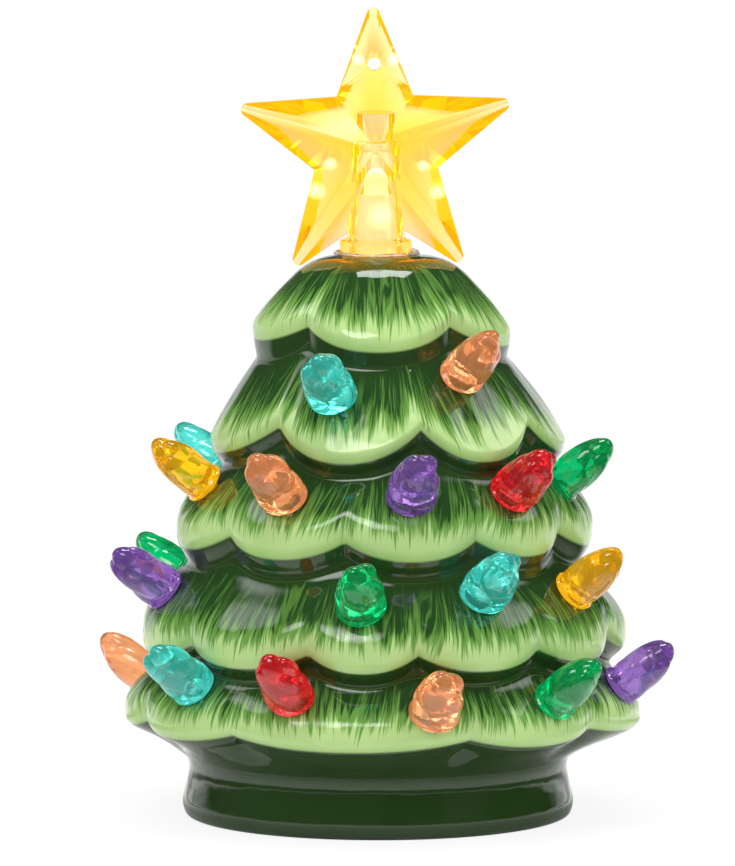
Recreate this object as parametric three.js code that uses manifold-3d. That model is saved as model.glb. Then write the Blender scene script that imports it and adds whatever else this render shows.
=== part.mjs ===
/*
  Ceramic Christmas tree lantern with plastic bulbs and a lit star.
  Millimetres, +Z up. The origin is the centre of the foot ring, on the surface that the lantern stands on.
  The front faces -Y, and every bearing is in degrees from the front towards +X.
*/
import * as THREE from 'three';
import { mergeVertices, toCreasedNormals } from 'three/addons/utils/BufferGeometryUtils.js';
import Module from 'manifold-3d';

const wasm = await Module();
wasm.setup();

// Clearances
const SEAT_GAP = 0.3; // between two pieces that rest on each other
const HOUSING_GAP = 0.35; // round the battery housing, in the open foot
const SWING_GAP = 0.7; // between the snap arm and the end of the bay, so that it can swing out

// AAA cells and the space that they need
const CELL_DIAMETER = 10.5;
const CELL_LENGTH = 44.5;
const CELL_PITCH_GAP = 0.3;
const CELL_ROUNDING = 0.4;
const CELL_NUB_RADIUS = 2.7;
const CELL_NUB_LENGTH = 1;
const CELL_COUNT = 3;
const CELL_ABOVE_DOOR = 1.2;

// Contacts
const CONTACT_THICKNESS = 0.4;
const CONTACT_WIDTH = 7.6;
const CONTACT_TAB_WIDTH = 3;
const CONTACT_TAB_RISE = 1.4;
const SPRING_LENGTH = 3.1;
const SPRING_WIRE = 0.5;
const SPRING_RADIUS = 3;
const SPRING_TIP_RADIUS = 2.1;
const SPRING_TURNS = 2.5;

// Moulded battery housing and its door
const PLASTIC_WALL = 1.6;
const BAY_CORNER = 3;
const DOOR_LEDGE = 1;
const DOOR_THICKNESS = 1.6;
const PLATE_RECESS = 1.2; // from the standing surface up to the bottom plate
const PLATE_THICKNESS = 2.2;
const PLATE_MARGIN = 1.4; // from the corner of the bay's wall to the rim of the plate
const SKIRT_HEIGHT = 7.8;
const HOOK_SPACING = CELL_DIAMETER + CELL_PITCH_GAP;
const HOOK_WIDTH = 3.4;
const HOOK_REACH = 0.6;
const HOOK_THICKNESS = 0.9;
const HOOK_BAR = 0.6;
const HOOK_ROOT = 1.2; // thickness of the riser that carries a hook
const DOOR_RIB_WIDTH = 1.2;
const DOOR_RIB_HEIGHT = 0.8;
const FUSE = 0.5; // how far a moulded detail runs into the piece that it grows from
const SNAP_WIDTH = 8;
const SNAP_THICKNESS = 1;
const SNAP_BUMP_HEIGHT = 0.9;
const SNAP_BUMP = 0.3;
const NAIL_SCOOP_RADIUS = 3.2;
const NAIL_SCOOP_DEPTH = 1.1;
const BEAD_HEIGHT = 2.1; // of the silicone that holds the housing in the foot

// Slide switch
const SWITCH_LENGTH = 11.6;
const SWITCH_WIDTH = 5.6;
const SWITCH_HEIGHT = 4.6;
const SWITCH_TRAVEL = 3;
const KNOB_LENGTH = 3.8;
const KNOB_WIDTH = 2.8;
const KNOB_SHOULDER = 0.5;
const KNOB_CLEAR_OF_TABLE = 0.4;
const KNOB_GRIP_WIDTH = 0.5;
const KNOB_GRIP_PITCH = 1.15;
const KNOB_GRIP_DEPTH = 0.4;
const SWITCH_PIN_LENGTH = 1.6;
const SWITCH_PIN_WIDTH = 1.2;
const SWITCH_PIN_SPACING = 3.6;
const SWITCH_TO_BAY = 2.4;

// Lamp board over the bay
const POST_HEIGHT = 2;
const POST_RADIUS = 2.4;
const BOARD_RADIUS = 15;
const BOARD_THICKNESS = 1.6;
const SCREW_SPACING = 23;
const SCREW_HEAD_RADIUS = 2;
const SCREW_HEAD_HEIGHT = 1.4;
const SCREW_SHANK_RADIUS = 0.9;
const SCREW_BITE = 2.6;
const BOARD_LAMP_CIRCLE = 9;
const BOARD_LAMP_COUNT = 3;

// 5 mm lamps and wires
const LAMP_RADIUS = 2.5;
const LAMP_FLANGE_RADIUS = 2.9;
const LAMP_FLANGE_HEIGHT = 1;
const LAMP_HEIGHT = 8.6;
const WIRE_RADIUS = 0.5;

// Ceramic shell: foot, neck and crown
const FOOT_RING_WIDTH = 3.6;
const FOOT_FLARE = 1.4; // how far the base stands out past the foot ring
const FOOT_FLARE_HEIGHT = 2.6;
const FOOT_ROUNDING = 0.9;
const NECK_OUT = 0.1; // the neck stands this far out past the foot ring
const NECK_HEIGHT = 10.3;
const NECK_COVE = 0.6; // the neck opens by this much, and over twice the height, to meet the lowest tier
const SHELL_WALL = 4;
const HOLLOW_SILL = 2.6; // the hollow widens this far above the neck
const HOLLOW_SOFTENING = 3; // the slip fills the corners of the hollow by about this much
const CROWN_RADIUS = 12.9;
const CROWN_HEIGHT = 105.9;
const CROWN_ROUNDING = 2.2; // how far in from its edge the flat top of the crown ends
const CROWN_DROP = 1.4; // from the flat top down to that edge
const CROWN_THICKNESS = 4.6;
const LOBE_DEPTH = 2.3; // how far the rim draws in at a cusp
const LOBE_SHARPNESS = 2.2;
const GROOVE_FOLLOW = 0.6; // how much of the scallop the groove below it keeps
const SHOULDER_WEIGHT = 2; // a slope runs the straighter, and turns down the later, the more this is
const SLOPE_STATIONS = [0.35, 0.62, 1]; // shares of a slope at which the surface bends
const RIM_ROLL = 1.7; // height of the rolled lower edge of a tier
const ROLL_REACH = 0.35; // share of the underside that the rolled edge takes
const TREE_SHIFT = 0.75; // the hand-finished boughs stand this far off the foot's centre, towards +X

/*
  The tiers, from the top down. RIM and LOW are the radius and height of a bough's lowest edge, SHOULDER is
  how far above it the slope turns down, LIFT is how far the edge rises at a cusp, and GROOVE and
  GROOVE_HEIGHT are the hollow under the tier.
*/
const TIER1_RIM = 24.4;
const TIER1_LOW = 89.4;
const TIER1_SHOULDER = 3.6;
const TIER1_LIFT = 4.4;
const TIER1_GROOVE = 23.6;
const TIER1_GROOVE_HEIGHT = 86;
const TIER2_RIM = 33.4;
const TIER2_LOW = 69.4;
const TIER2_SHOULDER = 6.4;
const TIER2_LIFT = 6.2;
const TIER2_GROOVE = 30.9;
const TIER2_GROOVE_HEIGHT = 66.2;
const TIER3_RIM = 39.8;
const TIER3_LOW = 52.2;
const TIER3_SHOULDER = 6.0;
const TIER3_LIFT = 3.4;
const TIER3_GROOVE = 37.2;
const TIER3_GROOVE_HEIGHT = 47.8;
const TIER4_RIM = 46.1;
const TIER4_LOW = 32.2;
const TIER4_SHOULDER = 6.6;
const TIER4_LIFT = 3.1;
const TIER4_GROOVE = 42.3;
const TIER4_GROOVE_HEIGHT = 29;
const TIER5_RIM = 48.9;
const TIER5_LOW = 18;
const TIER5_SHOULDER = 5.4;
const TIER5_LIFT = 1.8;
const TIER5_GROOVE = 42.6;
const TIER5_GROOVE_HEIGHT = 14.9;

/*
  cusps are the bearings of the cusps seen from the front, and backLobes share the rest of the turn evenly.
*/
const TIERS = [
  {
    rim: TIER1_RIM,
    low: TIER1_LOW,
    shoulder: TIER1_SHOULDER,
    lift: TIER1_LIFT,
    groove: TIER1_GROOVE,
    grooveHeight: TIER1_GROOVE_HEIGHT,
    cusps: [-38, 35, 116],
    backLobes: 3,
  },
  {
    rim: TIER2_RIM,
    low: TIER2_LOW,
    shoulder: TIER2_SHOULDER,
    lift: TIER2_LIFT,
    groove: TIER2_GROOVE,
    grooveHeight: TIER2_GROOVE_HEIGHT,
    cusps: [-118, -40.5, 11.3, 57, 107],
    backLobes: 3,
  },
  {
    rim: TIER3_RIM,
    low: TIER3_LOW,
    shoulder: TIER3_SHOULDER,
    lift: TIER3_LIFT,
    groove: TIER3_GROOVE,
    grooveHeight: TIER3_GROOVE_HEIGHT,
    cusps: [-88, -49, -10.6, 27.5, 61, 98],
    backLobes: 4,
  },
  {
    rim: TIER4_RIM,
    low: TIER4_LOW,
    shoulder: TIER4_SHOULDER,
    lift: TIER4_LIFT,
    groove: TIER4_GROOVE,
    grooveHeight: TIER4_GROOVE_HEIGHT,
    cusps: [-87, -54, -18.2, 8.7, 41.3, 72.7, 104],
    backLobes: 5,
  },
  {
    rim: TIER5_RIM,
    low: TIER5_LOW,
    shoulder: TIER5_SHOULDER,
    lift: TIER5_LIFT,
    groove: TIER5_GROOVE,
    grooveHeight: TIER5_GROOVE_HEIGHT,
    cusps: [-96, -72.3, -37.5, 20, 55.4, 98],
    backLobes: 5,
  },
];

// Bulbs: holes, pegs and heads
const PEG_RADIUS = 1.7;
const PEG_LENGTH = 6.4;
const BULB_LENGTH = 13;
const BULB_RADIUS = 4.95;
const BULB_FOOT_RADIUS = 4.4;
const BULB_FLATNESS = 0.86; // a bulb is this much thinner from top to bottom than from side to side
const BULB_TILT = 38; // how far a bulb looks up, in degrees
const BULB_PETALS = 5;
const BULB_TWIST = 40;
const BULB_FLUTE = 0.1;
const BELLY_START = 1.7; // how far up the head its widest part starts

/*
  Bulb rows from the top down. height is the height of the row's holes, and each bulb is
  [colour, bearing, how far its hole stands above the row].
*/
const ROW_A_HEIGHT = 80.4;
const ROW_B_HEIGHT = 62.3;
const ROW_C_HEIGHT = 43.6;
const ROW_D_HEIGHT = 26.6;
const BULB_ROWS = [
  { height: ROW_A_HEIGHT, bulbs: [['teal', -17, 0.5], ['peach', 35.5, 4], ['amber', 150, 1], ['red', -158, 0]] },
  { height: ROW_B_HEIGHT, bulbs: [['amber', -70, 0.8], ['peach', -29.3, 0.3], ['purple', 9.7, 0.6], ['red', 43, 0.3],
    ['green', 71.5, 0.9], ['amber', 140, 0], ['purple', -165, 0], ['teal', -120.5, 1]] },
  { height: ROW_C_HEIGHT, bulbs: [['purple', -73.3, -0.5], ['green', -4.2, -0.2], ['teal', 28, 1.4],
    ['amber', 59.5, 0.5], ['red', 133, 0], ['peach', 172, 0], ['amber', -150, 0], ['green', -118.5, -1.6]] },
  { height: ROW_D_HEIGHT, bulbs: [['teal', -49.5, 0.5], ['red', -20.8, 0.3], ['peach', 12.4, -2],
    ['green', 43.5, -1.2], ['purple', 73.2, -1], ['teal', 130, 0], ['amber', 170, 0], ['red', -152, 0],
    ['peach', -114, -3.9]] },
];

// Star topper
const STAR_X = -0.4;
const STAR_CENTRE_ABOVE_CROWN = 19.9;
const STAR_RADIUS = 26.4; // to the blunt ends of the points
const STAR_SHARP_RADIUS = 28.6; // to where the edges of a point would meet
const STAR_NOTCH_RADIUS = 12.2;
const STAR_LEAN = 1.15; // how far the star is glued off upright, in degrees
const STAR_DEPTH = 13.5;
const STAR_EDGE = 2.4;
const STAR_EYE_RADIUS = 1.2; // small hole through the top point
const STAR_EYE_ABOVE_CENTRE = 15.9;
const STEM_RADIUS = 5.5;
const STEM_TOP_BELOW_CENTRE = 3.5;
const STAR_BORE_RADIUS = 4.15;
const STAR_BORE_ABOVE_CENTRE = 0.9;
const BORE_TOP_RADIUS = 3.2;
const BORE_TOP_LENGTH = 5.5;
const FLANGE_RADIUS = 6.8;
const FLANGE_HEIGHT = 2.6;
const GLUE_WIDTH = 1;
const GLUE_HEIGHT = 0.8;
const HOLDER_TOP_ABOVE_CROWN = 11.5;
const LAMP_SOCKET_DEPTH = 3.8;
const HOLDER_SPIGOT_RADIUS = 2.7;
const HOLDER_SPIGOT_LENGTH = 6.5;
const HOLDER_WIRE_BORE = 1.7;
const STAR_WIRE_SPACING = 1.6;

// Facets in a full turn
const SHELL_FACETS = 72;
const ROUND_FACETS = 40;
const SMALL_FACETS = 12;

// Sizes that follow from the ones above
const radians = THREE.MathUtils.degToRad;
const bayLength = CELL_LENGTH + SPRING_LENGTH + 2 * CONTACT_THICKNESS + 4 * SEAT_GAP;
const cellPitch = CELL_DIAMETER + CELL_PITCH_GAP;
const bayWidth = (CELL_COUNT - 1) * cellPitch + CELL_DIAMETER + 2 * CELL_PITCH_GAP;
const bayHalf = bayLength / 2;
const doorLength = bayLength + 2 * DOOR_LEDGE;
const doorWidth = bayWidth + 2 * DOOR_LEDGE;
const toBayCorner = Math.hypot(bayHalf - BAY_CORNER, bayWidth / 2 - BAY_CORNER);
const bayCornerRadius = toBayCorner + BAY_CORNER + PLASTIC_WALL;
const housingRadius = bayCornerRadius + PLATE_MARGIN;
const openingRadius = housingRadius + HOUSING_GAP;
const footRadius = openingRadius + FOOT_RING_WIDTH;
const neckRadius = footRadius + NECK_OUT;

const plateTop = PLATE_RECESS + PLATE_THICKNESS;
const doorTop = PLATE_RECESS + DOOR_THICKNESS;
const ledgeHeight = doorTop + SEAT_GAP;
const cellHeight = doorTop + CELL_ABOVE_DOOR + CELL_DIAMETER / 2;
const ceilingHeight = cellHeight + CELL_DIAMETER / 2 + CELL_PITCH_GAP;
const bayTop = ceilingHeight + PLASTIC_WALL;
const skirtTop = PLATE_RECESS + SKIRT_HEIGHT;
const boardBottom = bayTop + POST_HEIGHT + SEAT_GAP;
const boardTop = boardBottom + BOARD_THICKNESS;
const contactBottom = cellHeight - CONTACT_WIDTH / 2;
const contactTop = ceilingHeight - SEAT_GAP;
const switchY = -(bayWidth / 2 + PLASTIC_WALL + SWITCH_TO_BAY + SWITCH_WIDTH / 2);
const switchBottom = plateTop + SEAT_GAP;
const switchTop = switchBottom + SWITCH_HEIGHT;
const starCentre = CROWN_HEIGHT + STAR_CENTRE_ABOVE_CROWN;
const flangeBottom = CROWN_HEIGHT + SEAT_GAP;
const flangeTop = flangeBottom + FLANGE_HEIGHT;
const holderTop = CROWN_HEIGHT + HOLDER_TOP_ABOVE_CROWN;
const starLampBottom = holderTop - LAMP_SOCKET_DEPTH + SEAT_GAP;

// Materials, by the colours of the glazed and moulded surfaces
function surface(colour, roughness, metalness, opacity = 1) {
  return new THREE.MeshStandardMaterial({
    color: colour,
    roughness,
    metalness,
    opacity,
    transparent: opacity < 1,
  });
}

const materials = {
  glaze: surface('#4a8a2e', 0.08, 0),
  whitePlastic: surface('#e9e7e0', 0.45, 0),
  clearAmber: surface('#f5c52a', 0.05, 0, 0.7),
  clearGlue: surface('#e6e6de', 0.2, 0, 0.6),
  frostedPlastic: surface('#f2efdc', 0.4, 0, 0.8),
  lamp: surface('#fff2c4', 0.1, 0, 0.85),
  spring: surface('#c9c9c4', 0.3, 1),
  cellJacket: surface('#2e3033', 0.4, 0.2),
  circuitBoard: surface('#1f5a34', 0.5, 0),
  steel: surface('#b5b6b8', 0.35, 1),
  silicone: surface('#dedede', 0.6, 0, 0.8),
  redWire: surface('#b3211c', 0.5, 0),
  blackWire: surface('#1c1c1e', 0.5, 0),
  blackPlastic: surface('#1d1d1f', 0.5, 0),
  bulb: {
    red: surface('#cf1f24', 0.05, 0, 0.8),
    green: surface('#0f9c4e', 0.05, 0, 0.8),
    teal: surface('#3fc2b8', 0.05, 0, 0.75),
    peach: surface('#ee8a5c', 0.05, 0, 0.75),
    amber: surface('#f0b010', 0.05, 0, 0.75),
    purple: surface('#7a45a8', 0.05, 0, 0.75),
  },
};

// Booleans

// Shares the vertices of a closed geometry and turns its faces outwards.
function weld(geometry) {
  const bare = geometry.index ? geometry.clone() : geometry;
  bare.deleteAttribute('normal');
  bare.deleteAttribute('uv');
  const shared = mergeVertices(bare, 1e-5);
  const place = shared.getAttribute('position').array;
  const corner = (i) => new THREE.Vector3(place[3 * i], place[3 * i + 1], place[3 * i + 2]);
  const faces = [];
  let volume = 0;
  for (let i = 0; i < shared.index.count; i += 3) {
    const [a, b, c] = [0, 1, 2].map((k) => shared.index.getX(i + k));
    if (a !== b && b !== c && c !== a) {
      faces.push([a, b, c]);
      volume += corner(a).dot(corner(b).cross(corner(c)));
    }
  }
  const outward = volume > 0 ? faces : faces.map(([a, b, c]) => [a, c, b]);
  return { vertices: place, triangles: outward.flat() };
}

function toSolid(geometry) {
  const { vertices, triangles } = weld(geometry);
  const mesh = new wasm.Mesh({
    numProp: 3,
    vertProperties: Float32Array.from(vertices),
    triVerts: Uint32Array.from(triangles),
  });
  return new wasm.Manifold(mesh);
}

function toGeometry(solid) {
  const mesh = solid.getMesh();
  const geometry = new THREE.BufferGeometry();
  geometry.setAttribute('position', new THREE.BufferAttribute(mesh.vertProperties, 3));
  geometry.setIndex(new THREE.BufferAttribute(mesh.triVerts, 1));
  return toCreasedNormals(geometry, radians(35));
}

const joined = (first, ...rest) => rest.reduce((sum, piece) => sum.add(piece), first);
const cut = (first, ...rest) => rest.reduce((sum, piece) => sum.subtract(piece), first);

// Forms

function block(x0, x1, y0, y1, z0, z1) {
  const geometry = new THREE.BoxGeometry(x1 - x0, y1 - y0, z1 - z0);
  geometry.translate((x0 + x1) / 2, (y0 + y1) / 2, (z0 + z1) / 2);
  return toSolid(geometry);
}

function roundedBlock(length, width, corner, z0, z1) {
  const x = length / 2 - corner;
  const y = width / 2 - corner;
  const outline = new THREE.Shape();
  outline.absarc(x, y, corner, 0, Math.PI / 2);
  outline.absarc(-x, y, corner, Math.PI / 2, Math.PI);
  outline.absarc(-x, -y, corner, Math.PI, 1.5 * Math.PI);
  outline.absarc(x, -y, corner, 1.5 * Math.PI, 2 * Math.PI);
  const depth = z1 - z0;
  const geometry = new THREE.ExtrudeGeometry(outline, { depth, bevelEnabled: false, curveSegments: 4 });
  geometry.translate(0, 0, z0);
  return toSolid(geometry);
}

// A turned form about Z, from [radius, height] points that start and end on the axis or close on themselves.
function turned(points, facets = SMALL_FACETS) {
  const profile = points.map(([radius, height]) => new THREE.Vector2(radius, height));
  const geometry = new THREE.LatheGeometry(profile, facets);
  geometry.rotateX(Math.PI / 2);
  return toSolid(geometry);
}

const disc = (radius, z0, z1, facets = SMALL_FACETS) =>
  turned([[0, z0], [radius, z0], [radius, z1], [0, z1]], facets);

const ring = (inner, outer, z0, z1, facets = ROUND_FACETS) =>
  turned([[inner, z0], [outer, z0], [outer, z1], [inner, z1], [inner, z0]], facets);

/*
  A closed form about Z whose profile may change all the way round. profileAt(bearing) lists
  [radius, height, turn, shift] rings from one pole to the other, where turn is an extra bearing in degrees
  and shift moves the ring towards +X.
*/
function wrapped(profileAt, facets) {
  const columns = [];
  for (let i = 0; i < facets; i += 1) {
    columns.push(profileAt((360 * i) / facets));
  }
  const rows = columns[0].length;
  const vertices = [];
  const index = (column, row) => (column % facets) * rows + row;
  columns.forEach((column, i) => {
    for (const [radius, height, turn = 0, shift = 0] of column) {
      const bearing = radians((360 * i) / facets + turn);
      vertices.push(shift + radius * Math.sin(bearing), -radius * Math.cos(bearing), height);
    }
  });
  const faces = [];
  for (let i = 0; i < facets; i += 1) {
    for (let j = 0; j + 1 < rows; j += 1) {
      faces.push(index(i, j), index(i, j + 1), index(i + 1, j + 1));
      faces.push(index(i, j), index(i + 1, j + 1), index(i + 1, j));
    }
  }
  const geometry = new THREE.BufferGeometry();
  geometry.setAttribute('position', new THREE.Float32BufferAttribute(vertices, 3));
  geometry.setIndex(faces);
  return toSolid(geometry);
}

function alongPath(points, radius, steps, facets = 6) {
  const path = new THREE.CatmullRomCurve3(points.map((point) => new THREE.Vector3(...point)));
  const section = new THREE.Shape();
  section.absarc(0, 0, radius, 0, 2 * Math.PI);
  return toSolid(new THREE.ExtrudeGeometry(section, { steps, extrudePath: path, curveSegments: facets / 2 }));
}

// Assembly
const lantern = new THREE.Group();

function addPiece(name, solid, material, parent = lantern) {
  const mesh = new THREE.Mesh(toGeometry(solid), material);
  mesh.name = name;
  parent.add(mesh);
  return mesh;
}

// Ceramic shell

// All cusp bearings of a tier: those seen from the front, then the rest of the turn in even lobes.
function cuspBearings({ cusps, backLobes }) {
  const last = cusps[cusps.length - 1];
  const rest = cusps[0] + 360 - last;
  const behind = [];
  for (let i = 1; i < backLobes; i += 1) {
    behind.push(last + (rest * i) / backLobes);
  }
  return [...cusps, ...behind, cusps[0] + 360];
}

// 0 at a cusp and 1 at the middle of a lobe.
function lobe(bearings, bearing) {
  const start = bearings[0];
  const turned360 = start + THREE.MathUtils.euclideanModulo(bearing - start, 360);
  const next = bearings.findIndex((cusp) => cusp > turned360);
  const across = (turned360 - bearings[next - 1]) / (bearings[next] - bearings[next - 1]);
  return 1 - Math.abs(2 * across - 1) ** LOBE_SHARPNESS;
}

const tierCusps = TIERS.map(cuspBearings);

// A point on a curve that starts towards the corner and ends coming from it, more closely with more weight.
function cornered(start, corner, end, weight, along) {
  const shares = [(1 - along) ** 2, 2 * weight * along * (1 - along), along ** 2];
  const sum = shares[0] + shares[1] + shares[2];
  return [0, 1].map((k) => (shares[0] * start[k] + shares[1] * corner[k] + shares[2] * end[k]) / sum);
}

// The outside of the shell at one bearing, from the middle of the crown down to the middle of the foot.
function shellProfile(bearing) {
  const profile = [[0, CROWN_HEIGHT], [CROWN_RADIUS - CROWN_ROUNDING, CROWN_HEIGHT]];
  let start = [CROWN_RADIUS, CROWN_HEIGHT - CROWN_DROP];
  profile.push(start);
  TIERS.forEach((tier, number) => {
    const drawnIn = 1 - lobe(tierCusps[number], bearing);
    const edge = [tier.rim - LOBE_DEPTH * drawnIn, tier.low + tier.lift * drawnIn];
    const [rim, low] = edge;
    const rollStart = [rim, low + RIM_ROLL];
    for (const along of SLOPE_STATIONS) {
      profile.push(cornered(start, [rim, low + tier.shoulder], rollStart, SHOULDER_WEIGHT, along));
    }
    const followed = GROOVE_FOLLOW * drawnIn;
    start = [tier.groove - followed * LOBE_DEPTH, tier.grooveHeight + followed * tier.lift];
    const rollEnd = [0, 1].map((k) => edge[k] + ROLL_REACH * (start[k] - edge[k]));
    profile.push(cornered(rollStart, edge, rollEnd, 1, 0.5));
    profile.push(rollEnd);
    profile.push(start);
  });
  profile.forEach((ringOfTree) => ringOfTree.push(0, TREE_SHIFT));
  const flareRadius = footRadius + FOOT_FLARE;
  profile.push([neckRadius + NECK_COVE, NECK_HEIGHT + 2 * NECK_COVE]);
  profile.push([neckRadius, NECK_HEIGHT]);
  profile.push([flareRadius, FOOT_FLARE_HEIGHT]);
  profile.push([flareRadius - FOOT_ROUNDING / 3, FOOT_ROUNDING]);
  profile.push([footRadius, 0]);
  profile.push([0, 0]);
  return profile;
}

// The hollow that the drained slip leaves, which follows the tiers inside.
function shellHollow() {
  const points = [[0, -1], [openingRadius, -1], [openingRadius, NECK_HEIGHT + HOLLOW_SILL]];
  for (const tier of [...TIERS].reverse()) {
    if (tier !== TIERS[TIERS.length - 1]) {
      points.push([tier.groove - SHELL_WALL, tier.grooveHeight + HOLLOW_SOFTENING / 3]);
    }
    points.push([tier.rim - LOBE_DEPTH - SHELL_WALL, tier.low + RIM_ROLL + HOLLOW_SOFTENING]);
  }
  points.push([CROWN_RADIUS - SHELL_WALL / 2, CROWN_HEIGHT - CROWN_THICKNESS]);
  points.push([0, CROWN_HEIGHT - CROWN_THICKNESS]);
  return turned(points, ROUND_FACETS);
}

const treeOutside = wrapped(shellProfile, SHELL_FACETS);

// Bulbs

// How far along the ray the shell's outside is.
const treeSurface = new THREE.Mesh(toGeometry(treeOutside));
function distanceToShell(origin, direction) {
  const hits = new THREE.Raycaster(origin, direction).intersectObject(treeSurface);
  return hits[0].distance;
}

// A group at the hole, with its own +Z along the bulb.
function bulbSeat(bearing, height) {
  const turn = radians(bearing);
  const tilt = radians(BULB_TILT);
  const outward = new THREE.Vector3(Math.sin(turn), -Math.cos(turn), 0);
  const reach = 4 * BULB_LENGTH + TIERS[TIERS.length - 1].rim;
  const outside = outward.clone().multiplyScalar(reach).setZ(height);
  const toHole = distanceToShell(outside, outward.clone().negate());
  const hole = outside.addScaledVector(outward, -toHole);
  const axis = outward.clone().multiplyScalar(Math.cos(tilt)).setZ(Math.sin(tilt));
  const side = new THREE.Vector3(Math.cos(turn), Math.sin(turn), 0);
  const up = new THREE.Vector3().crossVectors(axis, side);

  // the head rests on the highest point of the shell under its foot, and its belly clears the tier above
  let rise = 0;
  for (const [radius, above] of [[BULB_FOOT_RADIUS, 0], [BULB_RADIUS + SEAT_GAP, BELLY_START]]) {
    for (let i = 0; i < 2 * SMALL_FACETS; i += 1) {
      const around = (Math.PI * i) / SMALL_FACETS;
      const start = hole.clone().addScaledVector(axis, 2 * BULB_LENGTH);
      start.addScaledVector(side, radius * Math.cos(around));
      start.addScaledVector(up, radius * BULB_FLATNESS * Math.sin(around));
      rise = Math.max(rise, 2 * BULB_LENGTH - distanceToShell(start, axis.clone().negate()) - above);
    }
  }
  const seat = new THREE.Group();
  seat.matrix.makeBasis(side, up, axis);
  seat.matrix.setPosition(hole.addScaledVector(axis, rise + SEAT_GAP));
  seat.matrix.decompose(seat.position, seat.quaternion, seat.scale);
  return seat;
}

// A bud with twisted petals that close at the tip, on a round foot and a peg.
const BULB_RINGS = [[0.13, 0.94, 0.1], [0.38, 1, 0.45], [0.64, 0.82, 0.8], [0.86, 0.47, 1]];
function bulbProfile(bearing) {
  const crest = Math.cos(BULB_PETALS * radians(bearing));
  const oval = (turn) => 1 / Math.hypot(Math.sin(radians(turn)), Math.cos(radians(turn)) / BULB_FLATNESS);
  const rings = [[0, -PEG_LENGTH], [PEG_RADIUS, -PEG_LENGTH], [PEG_RADIUS, 0]];
  rings.push([BULB_FOOT_RADIUS * oval(bearing), 0]);
  for (const [along, width, depth] of BULB_RINGS) {
    const twist = BULB_TWIST * along;
    const radius = BULB_RADIUS * width * (1 - BULB_FLUTE * depth * (1 - crest) / 2);
    rings.push([radius * oval(bearing + twist), BULB_LENGTH * along, twist]);
  }
  rings.push([0, BULB_LENGTH]);
  return rings;
}

const bulbSolid = wrapped(bulbProfile, 2 * BULB_PETALS);
const pegHole = disc(PEG_RADIUS + SEAT_GAP, -3 * PEG_LENGTH, PEG_LENGTH, 2 * BULB_PETALS);

let shell = treeOutside.subtract(shellHollow());
const crownHole = disc(HOLDER_SPIGOT_RADIUS + SEAT_GAP, CROWN_HEIGHT - 2 * CROWN_THICKNESS, CROWN_HEIGHT + 1);
shell = shell.subtract(crownHole.translate([STAR_X, 0, 0]));
BULB_ROWS.forEach((row, rowNumber) => {
  row.bulbs.forEach(([colour, bearing, raised], number) => {
    const seat = bulbSeat(bearing, row.height + raised);
    const name = `bulb_${'abcd'[rowNumber]}${number + 1}_${colour}`;
    seat.add(new THREE.Mesh(toGeometry(bulbSolid), materials.bulb[colour]));
    seat.children[0].name = name;
    seat.updateMatrix();
    lantern.add(seat);
    shell = shell.subtract(pegHole.transform(seat.matrix.elements));
  });
});
addPiece('tree_shell', shell, materials.glaze);

// Star topper

// Five ridged points with blunt ends, and a flat band round the edge.
function starBody() {
  const half = STAR_EDGE / 2;
  const vertices = [[0, -STAR_DEPTH / 2, 0], [0, STAR_DEPTH / 2, 0]];
  for (let i = 0; i < 10; i += 1) {
    const radius = i % 2 === 0 ? STAR_SHARP_RADIUS : STAR_NOTCH_RADIUS;
    const angle = (Math.PI * i) / 5 - radians(STAR_LEAN);
    vertices.push([radius * Math.sin(angle), -half, radius * Math.cos(angle)]);
    vertices.push([radius * Math.sin(angle), half, radius * Math.cos(angle)]);
  }
  const faces = [];
  for (let i = 0; i < 10; i += 1) {
    const front = 2 + 2 * i;
    const nextFront = 2 + 2 * ((i + 1) % 10);
    faces.push(0, front, nextFront);
    faces.push(1, nextFront + 1, front + 1);
    faces.push(front, front + 1, nextFront + 1);
    faces.push(front, nextFront + 1, nextFront);
  }
  const geometry = new THREE.BufferGeometry();
  geometry.setAttribute('position', new THREE.Float32BufferAttribute(vertices.flat(), 3));
  geometry.setIndex(faces);
  const sharp = toSolid(geometry);
  const blunt = sharp.intersect(disc(STAR_RADIUS, -STAR_DEPTH, STAR_DEPTH, 60).rotate([90, 0, 0]));
  return blunt.translate([0, 0, starCentre]);
}

const starFacets = 20;
const boreTop = starCentre + STAR_BORE_ABOVE_CENTRE;
const star = cut(
  joined(
    starBody(),
    disc(STEM_RADIUS, flangeBottom, starCentre - STEM_TOP_BELOW_CENTRE, starFacets),
    disc(FLANGE_RADIUS, flangeBottom, flangeTop, starFacets),
  ),
  disc(STAR_BORE_RADIUS, flangeBottom - 1, boreTop, starFacets),
  disc(BORE_TOP_RADIUS, boreTop - 1, boreTop + BORE_TOP_LENGTH, starFacets),
  disc(STAR_EYE_RADIUS, -STAR_DEPTH, STAR_DEPTH, 8).rotate([90, 0, 0]).translate([
    -STAR_EYE_ABOVE_CENTRE * Math.sin(radians(STAR_LEAN)),
    0,
    starCentre + STAR_EYE_ABOVE_CENTRE,
  ]),
);
addPiece('star_topper', star, materials.clearAmber).position.x = STAR_X;

const glueInner = FLANGE_RADIUS + SEAT_GAP;
const glueBulge = Math.SQRT1_2; // where a rounded fillet passes between its two edges
const glue = turned([
  [glueInner, flangeBottom],
  [glueInner + GLUE_WIDTH, flangeBottom],
  [glueInner + glueBulge * GLUE_WIDTH, flangeBottom + glueBulge * GLUE_HEIGHT],
  [glueInner, flangeBottom + GLUE_HEIGHT],
  [glueInner, flangeBottom],
], starFacets);
addPiece('star_glue', glue, materials.clearGlue).position.x = STAR_X;

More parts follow.
